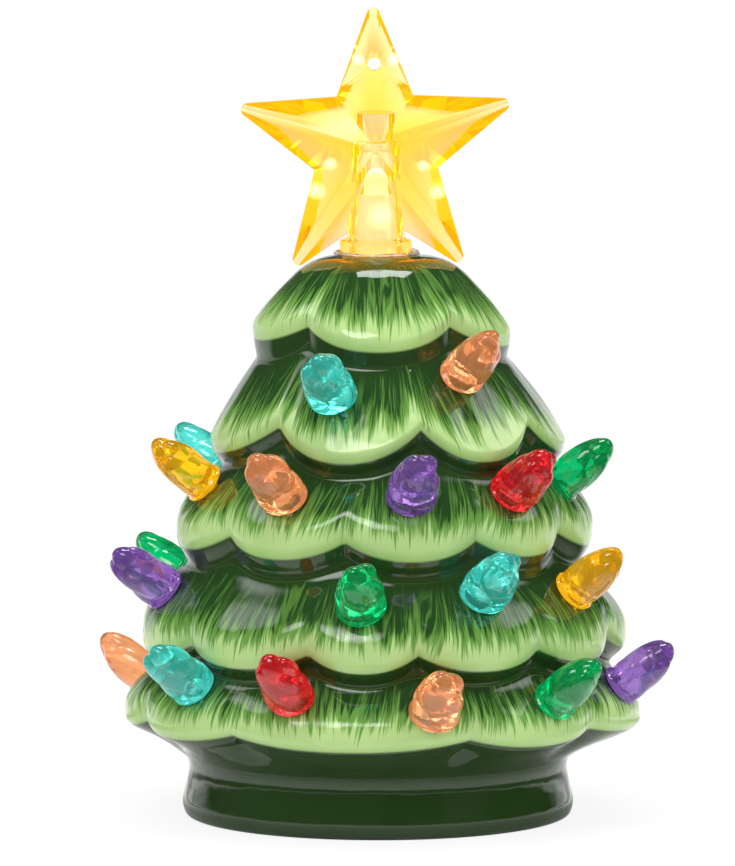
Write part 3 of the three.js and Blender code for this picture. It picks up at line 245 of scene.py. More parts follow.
def glazed_earthenware(look):
    """Slip-cast earthenware with brushed underglaze under a clear glaze.

    The clear glaze gives sharp, wet reflections. The colours lie under it, so the needles have soft ends
    and no relief. brush holds a place on the tier's own cylinder and the height above its edge, both in
    millimetres, zone holds how far round the edge a point is, its depth under the tier above in
    millimetres, and the tier's number, and scallop is 0 at a cusp of the edge and 1 between two cusps.
    """
    material, tree, shader = blank_material("Glazed earthenware", {"Roughness": 0.06, "IOR": 1.52})
    add = partial(add_node, tree)
    brush = add("ShaderNodeAttribute", attribute_name="brush")
    zone = add("ShaderNodeAttribute", attribute_name="zone")
    scallop = add("ShaderNodeAttribute", attribute_name="scallop")
    place = add(SPLIT_XYZ, brush.outputs["Vector"])
    parts = add(SPLIT_XYZ, zone.outputs["Vector"])
    above = place.outputs["Z"]

    # strokes lean a little to one side or the other, by bunches about 12 mm wide
    flat = add(MULTIPLY_VECTORS, brush.outputs["Vector"], (1, 1, 0))
    shifted = add(XYZ, {"Z": parts.outputs["Z"]})
    spot = add(MULTIPLY_ADD_VECTORS, shifted, (0, 0, 40), flat)
    bunch = add(NOISE, spot, {"Scale": 1 / 12, "Detail": 2.0})
    lean = add(MULTIPLY_ADD, bunch, 1.5, -0.75)
    sideways = add(MULTIPLY, lean, above)
    across = add(CROSS_PRODUCT, flat, (0, 0, 1))
    unit = add(NORMALIZE, across)
    drift = add(SCALE, unit, {"Scale": sideways})
    drawn = add(ADD_VECTORS, spot, drift)

    # a stroke keeps its place across while it runs down, so the height is squeezed
    run = add(XYZ, {"Z": above})
    stretched = add(MULTIPLY_ADD_VECTORS, run, (0, 0, 0.05), drawn)

    # a crease of noise runs to a point, as the tip of a stroke does, so each width of stroke has its own
    tips = []
    for width_mm, reach_mm, seed in ((2.4, 9.0, 0.0), (0.8, 9.0, 31.0), (0.36, 9.0, 57.0)):
        moved = add(ADD_VECTORS, stretched, (0, 0, seed))
        noise = add(NOISE, moved, {"Scale": 1 / width_mm, "Detail": 0.0})
        centred = add(SUBTRACT, noise, 0.5)
        crease = add(ABSOLUTE, centred)
        tips.append(add(MULTIPLY, crease, reach_mm).outputs[0])
    tuft, stroke, hair = tips
    pairs = add(ADD, tuft, stroke)
    ragged = add(ADD, pairs, hair)

    # the bare edge is wide between two cusps and narrow at them
    bare = add(EVEN_RANGE, scallop.outputs["Fac"], 0.0, 1.0, 0.42 * look.light_band / MM,
        look.light_band / MM)
    needle_end = add(ADD, bare, ragged)
    past = add(SUBTRACT, above, needle_end)
    dark = add(SMOOTH_RANGE, past, -0.6, 1.6)
    thin_end = add(MULTIPLY_ADD, hair, 2.0, past)
    thin = add(SMOOTH_RANGE, thin_end, -1.4, 1.4)

    # fine gaps between the bristles' lines, fewer where the brush was pressed down, high on the slope
    bristles = add(NOISE, stretched, {"Scale": 1 / 0.24, "Detail": 1.0})
    strands = add(NOISE, stretched, {"Scale": 1 / 0.62, "Detail": 1.0})
    lines = add(ADD, bristles, strands)
    gaps = add(SMOOTH_RANGE, lines, 0.92, 1.26, 1.0, 0.3)
    pressed = add(SMOOTH_RANGE, past, 2.5, 10.0, 0.0, 0.62)
    filled = add(ADD, gaps, pressed, use_clamp=True)
    cover = add(MULTIPLY, dark, filled)

    # the light glaze is palest along the middle of the edge and greener where it runs under
    wash = add(NOISE, drawn, {"Scale": 1 / 6, "Detail": 2.0})
    thick = add(EVEN_RANGE, parts.outputs["X"], 0.0, 0.6, 0.45, -0.1)
    tint = add(ADD, wash, thick, use_clamp=True)
    light = add(MIX_COLOURS, tint, {6: look.light_green, 7: look.pale_green})
    middle = add(MIX_COLOURS, thin, {6: light.outputs[2], 7: look.leaf_green})
    needled = add(MIX_COLOURS, cover, {6: middle.outputs[2], 7: look.dark_green})

    # painted shadow: solid dark glaze colour close under the tier above; and from the lowest point of the
    # edge inwards the underside's dark glaze, which is painted shade there too
    shade = add(ADD, stroke, parts.outputs["Y"])
    # hollow is painted shadow, close under the tier above
    hollow = add(SMOOTH_RANGE, shade, 0.6, 2.6, 1.0, 0.0)
    # under is the underside's dark glaze with painted shade on it
    under = add(SMOOTH_RANGE, parts.outputs["X"], 0.52, 0.72)
    shade_and_dark_glaze = add(MAXIMUM, hollow, under)
    final = add(MIX_COLOURS, shade_and_dark_glaze, {6: needled.outputs[2], 7: look.dark_glaze_and_shade})
    tree.links.new(final.outputs[2], shader.inputs["Base Color"])

    # the glaze runs slightly thick and thin, in waves about 5 mm long
    ripple(tree, shader, 5, 0.14)
    return material


def clear_styrene(name, colour, glow):
    """Injection-moulded crystal polystyrene: clear, sharply glossy and tinted right through.

    The lamp inside the tree lights each bulb through its peg, which glow stands for.
    """
    material, tree, shader = blank_material(name, {
        "Roughness": 0.03, "IOR": 1.57, "Transmission Weight": 0.84, "Emission Strength": glow,
        "Emission Color": colour})
    add = partial(add_node, tree)
    coords = add(COORDS)
    swirl = add(NOISE, coords.outputs["Object"], {"Scale": 1 / (2.5 * MM), "Detail": 2.0, "Distortion": 0.8})
    paler = [channel ** 0.7 for channel in colour[:3]] + [1.0]
    tone = add(MIX_COLOURS, swirl, {6: colour, 7: paler})
    tree.links.new(tone.outputs[2], shader.inputs["Base Color"])
    # the mould's skin shrinks unevenly as it cools, in waves a little over 1 mm long
    ripple(tree, shader, 1.3, 0.08)
    return material


def lit_material(name, colour, strength, constants=None, spot=None):
    """A part that shines: the lens of a lamp, or a sleeve with the lamp behind its wall.

    spot gives a place in millimetres where the light gathers, how far it spreads and how many times
    brighter it is there.
    """
    material, tree, shader = blank_material(name, {
        "Emission Strength": strength, "Emission Color": colour, "Base Color": colour, **(constants or {})})
    add = partial(add_node, tree)
    if spot is not None:
        place, spread, gain = spot
        coords = add(COORDS)
        away = add(DISTANCE, coords.outputs["Object"], [size * MM for size in place])
        level = add(SMOOTH_RANGE, away.outputs["Value"], 0.0, spread * MM, strength * gain, strength)
        tree.links.new(level.outputs[0], shader.inputs["Emission Strength"])
    return material


# Meshes

def new_object(name, data):
    """An object that holds the data, linked to the scene."""
    made = bpy.data.objects.new(name, data)
    bpy.context.scene.collection.objects.link(made)
    return made


def mesh_from(form, name):
    """A bmesh as a mesh. The bmesh is freed."""
    mesh = bpy.data.meshes.new(name)
    form.to_mesh(mesh)
    form.free()
    return mesh


def dress(mesh, material):
    """Gives a whole mesh one material."""
    mesh.materials.clear()
    mesh.materials.append(material)


def link_piece(name, mesh, material, replaced, body="lantern"):
    """Puts a finished mesh in the scene as a piece that rides on a body in place of its CAD nodes."""
    piece = new_object(name, mesh)
    dress(mesh, material)
    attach(piece, body)
    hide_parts(*replaced)
    return piece


def plain_mesh(source, name):
    """The evaluated result of an object's modifiers as a mesh of its own. The object goes."""
    graph = bpy.context.evaluated_depsgraph_get()
    mesh = bpy.data.meshes.new_from_object(source.evaluated_get(graph), depsgraph=graph)
    mesh.name = name
    bpy.data.objects.remove(source)
    return mesh


def smooth_by_angle(mesh, degrees):
    """Smooth faces with sharp edges where two faces meet at more than the angle."""
    mesh.shade_smooth()
    mesh.set_sharp_from_angle(angle=math.radians(degrees))


def catmull(points, steps):
    """Points on a smooth curve through all the given ones, which are tuples of any length."""
    ends = [points[0], *points, points[-1]]
    curve = []
    for i in range(1, len(ends) - 2):
        p0, p1, p2, p3 = (np.array(ends[i + k], float) for k in (-1, 0, 1, 2))
        for step in range(steps):
            t = step / steps
            bend = 2 * p1 + (p2 - p0) * t + (2 * p0 - 5 * p1 + 4 * p2 - p3) * t ** 2
            curve.append((bend + (3 * p1 - p0 - 3 * p2 + p3) * t ** 3) / 2)
    curve.append(np.array(points[-1], float))
    return curve


def lathe(name, points, sides, place=(0, 0, 0)):
    """A turned mesh from [radius, height] points in millimetres. Points on the axis close into a pole."""
    form = bmesh.new()
    rows = []
    for radius, height in points:
        if radius == 0:
            rows.append([form.verts.new((0, 0, height * MM))])
            continue
        row = []
        for i in range(sides):
            angle = 2 * math.pi * i / sides
            row.append(form.verts.new((radius * MM * math.cos(angle), radius * MM * math.sin(angle),
                                       height * MM)))
        rows.append(row)
    for lower, upper in zip(rows, rows[1:]):
        for i in range(sides):
            ring = [lower[i % len(lower)], lower[(i + 1) % len(lower)],
                    upper[(i + 1) % len(upper)], upper[i % len(upper)]]
            corners = list(dict.fromkeys(ring))
            if len(corners) > 2:
                form.faces.new(corners)
    bmesh.ops.remove_doubles(form, verts=form.verts, dist=1e-7)
    bmesh.ops.recalc_face_normals(form, faces=form.faces)
    bmesh.ops.translate(form, verts=form.verts, vec=Vector(place) * MM)
    return mesh_from(form, name)


def with_booleans(name, start, steps):
    """Joins to and cuts from a mesh, in order. steps are (operation, mesh)."""
    target = new_object(name, start)
    tools = []
    for operation, mesh in steps:
        tool = new_object(name + "_tool", mesh)
        tools.append(tool)
        boolean = target.modifiers.new(operation.lower(), "BOOLEAN")
        boolean.operation = operation
        boolean.solver = "EXACT"
        boolean.object = tool
    mesh = plain_mesh(target, name)
    for tool in tools:
        bpy.data.objects.remove(tool)
    return mesh


def softened(mesh, name, width_mm, segments, angle):
    """The same mesh with a small rounding on every edge sharper than the angle."""
    source = new_object(name, mesh)
    bevel = source.modifiers.new("soft edges", "BEVEL")
    bevel.width = width_mm * MM
    bevel.segments = segments
    bevel.limit_method = "ANGLE"
    bevel.angle_limit = math.radians(angle)
    bevel.use_clamp_overlap = True
    bevel.harden_normals = False
    return plain_mesh(source, name)


# Tree shell

def cusp_bearings(tier):
    """All cusp bearings of a tier: those seen from the front, then the rest of the turn in even lobes."""
    cusps, lobes = tier["cusps"], tier["back_lobes"]
    rest = cusps[0] + 360 - cusps[-1]
    behind = [cusps[-1] + rest * i / lobes for i in range(1, lobes)]
    return [*cusps, *behind, cusps[0] + 360]


def lobe(cusps, bearing):
    """0 at a cusp and 1 at the middle of a lobe."""
    turned = cusps[0] + (bearing - cusps[0]) % 360
    following = next(i for i, cusp in enumerate(cusps) if cusp > turned)
    start, end = cusps[following - 1], cusps[following]
    across = (turned - start) / (end - start)
    return 1 - abs(2 * across - 1) ** LOBE_SHARPNESS


def raised(tier, cusps, bearing):
    """How far a lobe that hangs less than the others is drawn up there, in millimetres."""
    turned = cusps[0] + (bearing - cusps[0]) % 360
    number = next(i for i, cusp in enumerate(cusps) if cusp > turned) - 1
    return tier.get("raised", {}).get(number, 0) * lobe(cusps, bearing)


def shell_rows():
    """The rows of the shell's skin, from the crown's hole down the outside and back up the hollow.

    A row on a tier is (tier, part, share): part 0 is the slope, 1 the rolled edge and 2 the underside, and
    share runs from 0 to 1 along it. Any other row is (-1, radius, height).
    """
    rows = [(-1, CROWN_HOLE_RADIUS, CROWN_HEIGHT - 0.4), (-1, CROWN_HOLE_RADIUS + 0.3, CROWN_HEIGHT)]
    rows += [(-1, radius, CROWN_HEIGHT) for radius in (5, 7, 8.6, 9.8, CROWN_RADIUS - CROWN_ROUNDING)]
    for number in range(len(TIERS)):
        rows += [(number, 0, (i / 22) ** 1.1) for i in range(22)]
        rows += [(number, 1, i / 7) for i in range(7)]
        rows += [(number, 2, i / 6) for i in range(6)]
    foot = [(neck_radius() + NECK_COVE, NECK_HEIGHT + 2 * NECK_COVE), (neck_radius(), NECK_HEIGHT)]
    flare = FOOT_RADIUS + FOOT_FLARE
    foot += [(flare - 0.75, 6.4), (flare - 0.12, 3.7), (flare, FOOT_FLARE_HEIGHT), (flare - 0.22, 1.35)]
    foot += [(FOOT_RADIUS + 0.75, 0.45), (FOOT_RADIUS, 0.06), (FOOT_RADIUS - 0.5, 0)]
    last = TIERS[-1]
    entry = (last["groove"] - 2.6, last["groove_height"] - 1.0)
    skin = catmull([entry, (neck_radius() + 1.9, NECK_HEIGHT + 2.1), *foot], 3)
    rows += [(-1, radius, height) for radius, height in skin]
    rows += [(-1, FOOT_OPENING_RADIUS + 0.5, 0), (-1, FOOT_OPENING_RADIUS, 0.5)]
    hollow = [(FOOT_OPENING_RADIUS, NECK_HEIGHT + HOLLOW_SILL)]
    for tier in reversed(TIERS):
        if tier is not last:
            hollow.append((tier["groove"] - SHELL_WALL, tier["groove_height"] + 1))
        hollow.append((tier["rim"] - SHELL_WALL - 2.3, tier["low"] + RIM_ROLL + 3))
    hollow.append((CROWN_RADIUS - SHELL_WALL / 2, CROWN_HEIGHT - CROWN_THICKNESS))
    hollow.append((CROWN_HOLE_RADIUS, CROWN_HEIGHT - CROWN_THICKNESS))
    return rows + [(-1, radius, height) for radius, height in hollow]


def neck_radius():
    return FOOT_RADIUS + NECK_OUT


def skin_mesh(columns):
    """The shell's skin before the tiers take their shape, with what each point needs to find its place."""
    rows = shell_rows()
    cusps = [cusp_bearings(tier) for tier in TIERS]
    values = {name: [] for name in ("tier", "part", "share", "bearing", "scallop", "scallop_above", "raised",
                                 "soften")}
    places = []
    for column in range(columns):
        bearing = 360 * column / columns
        angle = math.radians(bearing)
        for tier, first, second in rows:
            on_tier = tier >= 0
            values["tier"].append(tier)
            values["bearing"].append(angle)
            values["part"].append(first if on_tier else 0)
            values["share"].append(second if on_tier else 0)
            values["scallop"].append(lobe(cusps[tier], bearing) if on_tier else 1)
            values["raised"].append(raised(TIERS[tier], cusps[tier], bearing) * MM if on_tier else 0)
            values["scallop_above"].append(lobe(cusps[tier - 1], bearing) if tier > 0 else 1)
            wide = 0.1 + 0.12 * (1 - values["scallop_above"][-1])
            near_groove = on_tier and ((first == 0 and second < wide) or (first == 2 and second > 0.6))
            on_crown = not on_tier and second == CROWN_HEIGHT and first > 8
            below_last = not on_tier and 10 < second < 14.5 and first > neck_radius() - 0.2
            values["soften"].append(1.0 if near_groove or on_crown or below_last else 0.0)
            shift = TIERS[0]["shift"] if not on_tier and second > CROWN_HEIGHT - 0.1 and first > 8 else 0
            radius, height = (0, 0) if on_tier else (first, second)
            places.append(((shift + radius * math.sin(angle)) * MM, -radius * math.cos(angle) * MM,
                           height * MM))
    count = len(rows)
    faces = []
    for column in range(columns):
        here, there = column * count, (column + 1) % columns * count
        for row in range(count):
            below = (row + 1) % count
            faces.append((here + row, here + below, there + below, there + row))
    mesh = bpy.data.meshes.new("tree_skin")
    mesh.from_pydata(places, [], faces)
    for name, numbers in values.items():
        attribute = mesh.attributes.new(name, "FLOAT", "POINT")
        attribute.data.foreach_set("value", np.array(numbers, np.float32))
    mesh.shade_smooth()
    return mesh


def new_tree(name, sockets):
    """A Geometry Nodes tree with a geometry input and output and the named inputs given as (type, name)."""
    tree = bpy.data.node_groups.new(name, "GeometryNodeTree")
    tree.interface.new_socket("Geometry", in_out="INPUT", socket_type="NodeSocketGeometry")
    tree.interface.new_socket("Geometry", in_out="OUTPUT", socket_type="NodeSocketGeometry")
    for kind, label in sockets:
        tree.interface.new_socket(label, in_out="INPUT", socket_type="NodeSocket" + kind)
    return tree, tree.nodes.new("NodeGroupInput"), tree.nodes.new("NodeGroupOutput")


def add_modifier(target, tree, values):
    """A Geometry Nodes modifier whose inputs are set by their sockets' identifiers."""
    modifier = target.modifiers.new(tree.name, "NODES")
    modifier.node_group = tree
    identifiers = {item.name: item.identifier for item in tree.interface.items_tree
                   if item.item_type == "SOCKET" and item.in_out == "INPUT"}
    for label, value in values.items():
        modifier[identifiers[label]] = value
    return modifier


def close_tree(tree, geometry, source, target):
    """Ends a tree with Realize Instances and Set Material."""
    real = add_node(tree, "GeometryNodeRealizeInstances", {"Geometry": geometry})
    dressed = add_node(tree, "GeometryNodeSetMaterial", {
        "Geometry": real, "Material": source.outputs["Material"]})
    tree.links.new(dressed.outputs["Geometry"], target.inputs["Geometry"])


def drape_tree():
    """The tree that bends one tier of the skin into its draped, scalloped bough."""
    labels = ["Tier", "Start radius", "Start height", "Lift above", "Rim radius", "Edge height", "Shoulder",
              "Shoulder weight", "Lift", "Lobe depth", "Roll", "Roll reach", "Groove radius",
              "Groove height", "Groove follow", "Fold depth", "Shift above", "Shift"]
    tree, source, target = new_tree("Draped tier", [*(("Float", label) for label in labels),
                                                    ("Material", "Material")])
    add = partial(add_node, tree)
    given = source.outputs
    read = {}
    for name in ("tier", "part", "share", "bearing", "scallop", "scallop_above", "raised"):
        reader = add("GeometryNodeInputNamedAttribute", {"Name": name}, data_type="FLOAT")
        read[name] = reader.outputs["Attribute"]
    on_tier = add(COMPARE, read["tier"], given["Tier"], 0.1)

    # towards a cusp the edge draws in and up, and the grooves above and below follow it a little
    drawn = add(SUBTRACT, 1.0, read["scallop"])
    drawn_above = add(SUBTRACT, 1.0, read["scallop_above"])
    inwards = add(MULTIPLY, given["Lobe depth"], -1.0)
    pull = add(XYZ, inwards, {"Z": given["Lift"]})
    pull_above = add(XYZ, inwards, {"Z": given["Lift above"]})
    follow = add(MULTIPLY, drawn, given["Groove follow"])
    follow_above = add(MULTIPLY, drawn_above, given["Groove follow"])
    edge_pull = add(SCALE, pull, {"Scale": drawn})
    groove_pull = add(SCALE, pull, {"Scale": follow})
    start_pull = add(SCALE, pull_above, {"Scale": follow_above})
    plain_edge = add(XYZ, given["Rim radius"], {"Z": given["Edge height"]})
    plain_groove = add(XYZ, given["Groove radius"], {"Z": given["Groove height"]})
    plain_start = add(XYZ, given["Start radius"], {"Z": given["Start height"]})
    hung = add(XYZ, {"Z": read["raised"]})
    hung_edge = add(ADD_VECTORS, plain_edge, hung)
    edge = add(ADD_VECTORS, hung_edge, edge_pull)
    groove = add(ADD_VECTORS, plain_groove, groove_pull)
    start = add(ADD_VECTORS, plain_start, start_pull)

    # the corners that the slope, the rolled edge and the underside run through
    over = add(XYZ, {"Z": given["Shoulder"]})
    shoulder = add(ADD_VECTORS, edge, over)
    rise = add(XYZ, {"Z": given["Roll"]})
    roll_top = add(ADD_VECTORS, edge, rise)
    roll_end = add(MIX_PLACES, given["Roll reach"], {4: edge, 5: groove})
    under_bend = add(MIX_PLACES, 0.5, {4: roll_end.outputs[1], 5: groove})
    first = add("GeometryNodeIndexSwitch", data_type="VECTOR")
    second = add("GeometryNodeIndexSwitch", data_type="VECTOR")
    third = add("GeometryNodeIndexSwitch", data_type="VECTOR")
    corners = [
        (first, (start.outputs[0], roll_top.outputs[0], roll_end.outputs[1])),
        (second, (shoulder.outputs[0], edge.outputs[0], under_bend.outputs[1])),
        (third, (roll_top.outputs[0], roll_end.outputs[1], groove.outputs[0])),
    ]
    for switch, choices in corners:
        switch.index_switch_items.new()
        tree.links.new(read["part"], switch.inputs[0])
        for number, choice in enumerate(choices):
            tree.links.new(choice, switch.inputs[number + 1])

    # a curve from the first corner to the third, which the second draws closer the more it weighs
    on_slope = add(LESS_THAN, read["part"], 0.5)
    heavier = add(SUBTRACT, given["Shoulder weight"], 1.0)
    weight = add(MULTIPLY_ADD, on_slope, heavier, 1.0)
    left = add(SUBTRACT, 1.0, read["share"])
    first_share = add(MULTIPLY, left, left)
    third_share = add(MULTIPLY, read["share"], read["share"])
    between = add(MULTIPLY, left, read["share"])
    doubled = add(MULTIPLY, between, 2.0)
    second_share = add(MULTIPLY, doubled, weight)
    ends_share = add(ADD, first_share, third_share)
    whole = add(ADD, ends_share, second_share)
    summed = None
    for corner, share in ((first, first_share), (second, second_share), (third, third_share)):
        scaled = add(SCALE, corner, {"Scale": share})
        if summed is not None:
            scaled = add(ADD_VECTORS, summed, scaled)
        summed = scaled
    inverse = add(DIVIDE, 1.0, whole)
    point = add(SCALE, summed, {"Scale": inverse})

    # a place on the tier's own cylinder, in millimetres, for the folds and the brushed needles
    turn = add(ADD, read["bearing"], -math.pi / 2)
    radius = add(MULTIPLY, given["Rim radius"], 900)
    reach = add(XYZ, radius)
    cylinder = add("ShaderNodeVectorRotate", {"Vector": reach, "Angle": turn}, rotation_type="Z_AXIS")
    seeded = add(XYZ, {"Z": given["Tier"]})
    spot = add(MULTIPLY_ADD_VECTORS, seeded, (0, 0, 50), cylinder)
    fold = add(NOISE, spot, {"Scale": 1 / 6.5, "Detail": 1.0})
    centred = add(SUBTRACT, fold, 0.5)
    fade = add(SMOOTH_RANGE, read["share"], 0.0, 0.45)
    last_part = add(MULTIPLY, fade, on_slope)
    ease = add(SMOOTH_RANGE, read["share"], 0.75, 1.0, 1.0, 0.0)
    window = add(MULTIPLY, last_part, ease)
    depth = add(MULTIPLY, window, given["Fold depth"])
    out = add(MULTIPLY, centred, depth)
    outwards = add(XYZ, out)
    folded = add(ADD_VECTORS, point, outwards)

    # turn it to its bearing and shift the tier off the foot's centre
    turned = add("ShaderNodeVectorRotate", {"Vector": folded, "Angle": turn}, rotation_type="Z_AXIS")
    along = add(ADD, read["part"], read["share"], use_clamp=True)
    sidestep = add(EVEN_RANGE, along, {"To Min": given["Shift above"], "To Max": given["Shift"]})
    aside = add(XYZ, sidestep)
    placed = add(ADD_VECTORS, turned, aside)
    moved = add("GeometryNodeSetPosition", {
        "Geometry": given["Geometry"], "Selection": on_tier, "Position": placed})

    point_parts = add(SPLIT_XYZ, point)
    edge_parts = add(SPLIT_XYZ, edge)
    start_parts = add(SPLIT_XYZ, start)
    above = add(SUBTRACT, point_parts.outputs["Z"], edge_parts.outputs["Z"])
    above_mm = add(MULTIPLY, above, 1000)
    upright = add(XYZ, {"Z": above_mm})
    brush = add(ADD_VECTORS, cylinder, upright)
    below = add(SUBTRACT, start_parts.outputs["Z"], point_parts.outputs["Z"])
    below_mm = add(MULTIPLY, below, 1000)
    round_edge = add(ADD, read["part"], read["share"])
    rolled = add(SUBTRACT, round_edge, 1.0)
    inside = add(MAXIMUM, rolled, 0.0)
    zone = add(XYZ, inside, below_mm, given["Tier"])
    brushed = add("GeometryNodeStoreNamedAttribute", {
        "Geometry": moved, "Selection": on_tier, "Name": "brush", "Value": brush}, data_type="FLOAT_VECTOR")
    zoned = add("GeometryNodeStoreNamedAttribute", {
        "Geometry": brushed, "Selection": on_tier, "Name": "zone", "Value": zone}, data_type="FLOAT_VECTOR")
    close_tree(tree, zoned.outputs["Geometry"], source, target)
    return tree


def pooling_tree():
    """The tree that rounds the corners where glaze pools, by averaging each marked point with the next."""
    tree, source, target = new_tree("Pooled glaze", [("Int", "Passes"), ("Material", "Material")])
    add = partial(add_node, tree)
    place = add("GeometryNodeInputPosition")
    weight = add("GeometryNodeInputNamedAttribute", {"Name": "soften"}, data_type="FLOAT")
    blurred = add("GeometryNodeBlurAttribute",
        {"Value": place, "Iterations": source.outputs["Passes"], "Weight": weight.outputs["Attribute"]},
        data_type="FLOAT_VECTOR")
    moved = add("GeometryNodeSetPosition", {"Geometry": source.outputs["Geometry"], "Position": blurred})
    close_tree(tree, moved.outputs["Geometry"], source, target)
    return tree


def default_zones(mesh):
    """Marks every point as bare dark glaze, with a place for the brush, before the tiers say otherwise."""
    count = len(mesh.vertices)
    zone = mesh.attributes.new("zone", "FLOAT_VECTOR", "POINT")
    zone.data.foreach_set("vector", np.tile(np.array([1.0, 9.0, 0.0], np.float32), count))
    brush = mesh.attributes.new("brush", "FLOAT_VECTOR", "POINT")
    places = np.zeros(count * 3, np.float32)
    mesh.vertices.foreach_get("co", places)
    brush.data.foreach_set("vector", places / MM)


# Bulbs

def petal_reach(petal, ways):
    """How far it is from the bud's heart to a petal's skin, along each of some directions."""
    out, bearing, height, thick, wide, tall, inwards, aside = petal
    turn = np.array(Matrix.Rotation(math.radians(bearing), 3, "Z") @ Matrix.Rotation(math.radians(aside), 3,
        "X")
                    @ Matrix.Rotation(math.radians(-inwards), 3, "Y"))
    middle = np.array((out * math.cos(math.radians(bearing)), out * math.sin(math.radians(bearing)), height))
    halves = np.array((thick, wide, tall))
    start = (np.array((0, 0, BUD_HEART)) - middle) @ turn / halves
    along = ways @ turn / halves
    a = (along ** 2).sum(axis=-1)
    b = along @ start
    return (-b + np.sqrt(b * b - a * (start @ start - 1))) / a


def bud_mesh(sizes):
    """One bulb at the origin along +Z: a bud of fat, overlapping petals on a round foot and a peg."""
    sides = sizes.columns
    bearings = np.arange(sides) * 2 * math.pi / sides
    heights = np.radians(np.linspace(-37, 86, sizes.rows))
    ways = np.stack((np.cos(heights)[:, None] * np.cos(bearings), np.cos(heights)[:, None] * np.sin(bearings),
                     np.sin(heights)[:, None] + 0 * bearings), axis=-1)
    reach = np.max([petal_reach(petal, ways) for petal in PETALS], axis=0)
    skin = ways * reach[..., None] + np.array((0, 0, BUD_HEART))
    foot, top = FOOT_RINGS[-1][1], skin[-1, :, 2].mean()
    skin[..., 2] = foot + (skin[..., 2] - foot) * (BULB_LENGTH - foot) / (top - foot)
    skin[..., :2] *= sizes.width / MM / (2 * np.linalg.norm(skin[..., :2], axis=-1).max())
    form = bmesh.new()
    profile = [(0, -PEG_LENGTH), (PEG_RADIUS * 0.85, -PEG_LENGTH), (PEG_RADIUS, -PEG_LENGTH + 0.4),
        (PEG_RADIUS, 0),
               *FOOT_RINGS]
    rows = []
    for radius, height in profile:
        flat = BULB_FLATNESS + (1 - BULB_FLATNESS) * (height < 0)
        ring = [(radius * math.cos(bearing), radius * math.sin(bearing) * flat,
            height) for bearing in bearings]
        rows.append([form.verts.new(Vector(point) * MM) for point in (ring if radius else ring[:1])])
    for line in skin:
        rows.append([form.verts.new((x * MM, y * MM * BULB_FLATNESS, z * MM)) for x, y, z in line])
    rows.append([form.verts.new((0, 0, BULB_LENGTH * MM))])
    for lower, upper in zip(rows, rows[1:]):
        for i in range(sides):
            ring = [lower[i % len(lower)], lower[(i + 1) % len(lower)],
                    upper[(i + 1) % len(upper)], upper[i % len(upper)]]
            form.faces.new(list(dict.fromkeys(ring)))
    bmesh.ops.recalc_face_normals(form, faces=form.faces)
    mesh = mesh_from(form, "bulb_bud")
    smooth_by_angle(mesh, 24)
    return mesh


def bulb_seats(colour):
    """Each CAD bulb of a colour, as its node's name, the point that its foot stands on, and its axis."""
    seats = []
    for name in sorted(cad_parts):
        if not re.fullmatch(f"bulb_[a-d][0-9]_{colour}", name):
            continue
        places = np.array([vertex.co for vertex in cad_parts[name].data.vertices])
        middle = places.mean(axis=0)
        bearing = math.atan2(middle[0], -middle[1])
        level = math.cos(math.radians(BULB_TILT))
        axis = Vector((level * math.sin(bearing), -level * math.cos(bearing),
                       math.sin(math.radians(BULB_TILT))))
        tip = Vector(places[np.argmax(places @ np.array(axis))])
        seats.append((name, tip - axis * BULB_LENGTH * MM, axis))
    return seats


def planting_tree():
    """The tree that sets one bulb on each seat, looking along its axis and turned by chance."""
    tree, source, target = new_tree("Planted bulbs", [
        ("Object", "Bulb"), ("Int", "Seed"), ("Material", "Material")])
    add = partial(add_node, tree)
    bulb = add("GeometryNodeObjectInfo", {"Object": source.outputs["Bulb"]}, transform_space="ORIGINAL")
    axis = add("GeometryNodeInputNamedAttribute", {"Name": "axis"}, data_type="FLOAT_VECTOR")
    level = add(CROSS_PRODUCT, axis.outputs["Attribute"], (0, 0, 1))
    aligned = add("FunctionNodeAxesToRotation", axis.outputs["Attribute"], level, primary_axis="Z",
        secondary_axis="X")
    # an oval bulb lies with its long way nearly level, one way round or the other
    chance = add("FunctionNodeRandomValue", {
        "Probability": 0.5, "Seed": source.outputs["Seed"]}, data_type="BOOLEAN")
    askew = add("FunctionNodeRandomValue", {
        2: -0.35, 3: 0.35, "Seed": source.outputs["Seed"]}, data_type="FLOAT")
    half = add(MULTIPLY_ADD, chance.outputs[3], math.pi, askew.outputs[1])
    spin = add(XYZ, {"Z": half})
    turned = add("FunctionNodeRotateRotation", {
        "Rotation": aligned, "Rotate By": spin}, rotation_space="LOCAL")
    planted = add("GeometryNodeInstanceOnPoints", {
        "Points": source.outputs["Geometry"], "Instance": bulb.outputs["Geometry"], "Rotation": turned})
    close_tree(tree, planted.outputs["Instances"], source, target)
    return tree


# Star

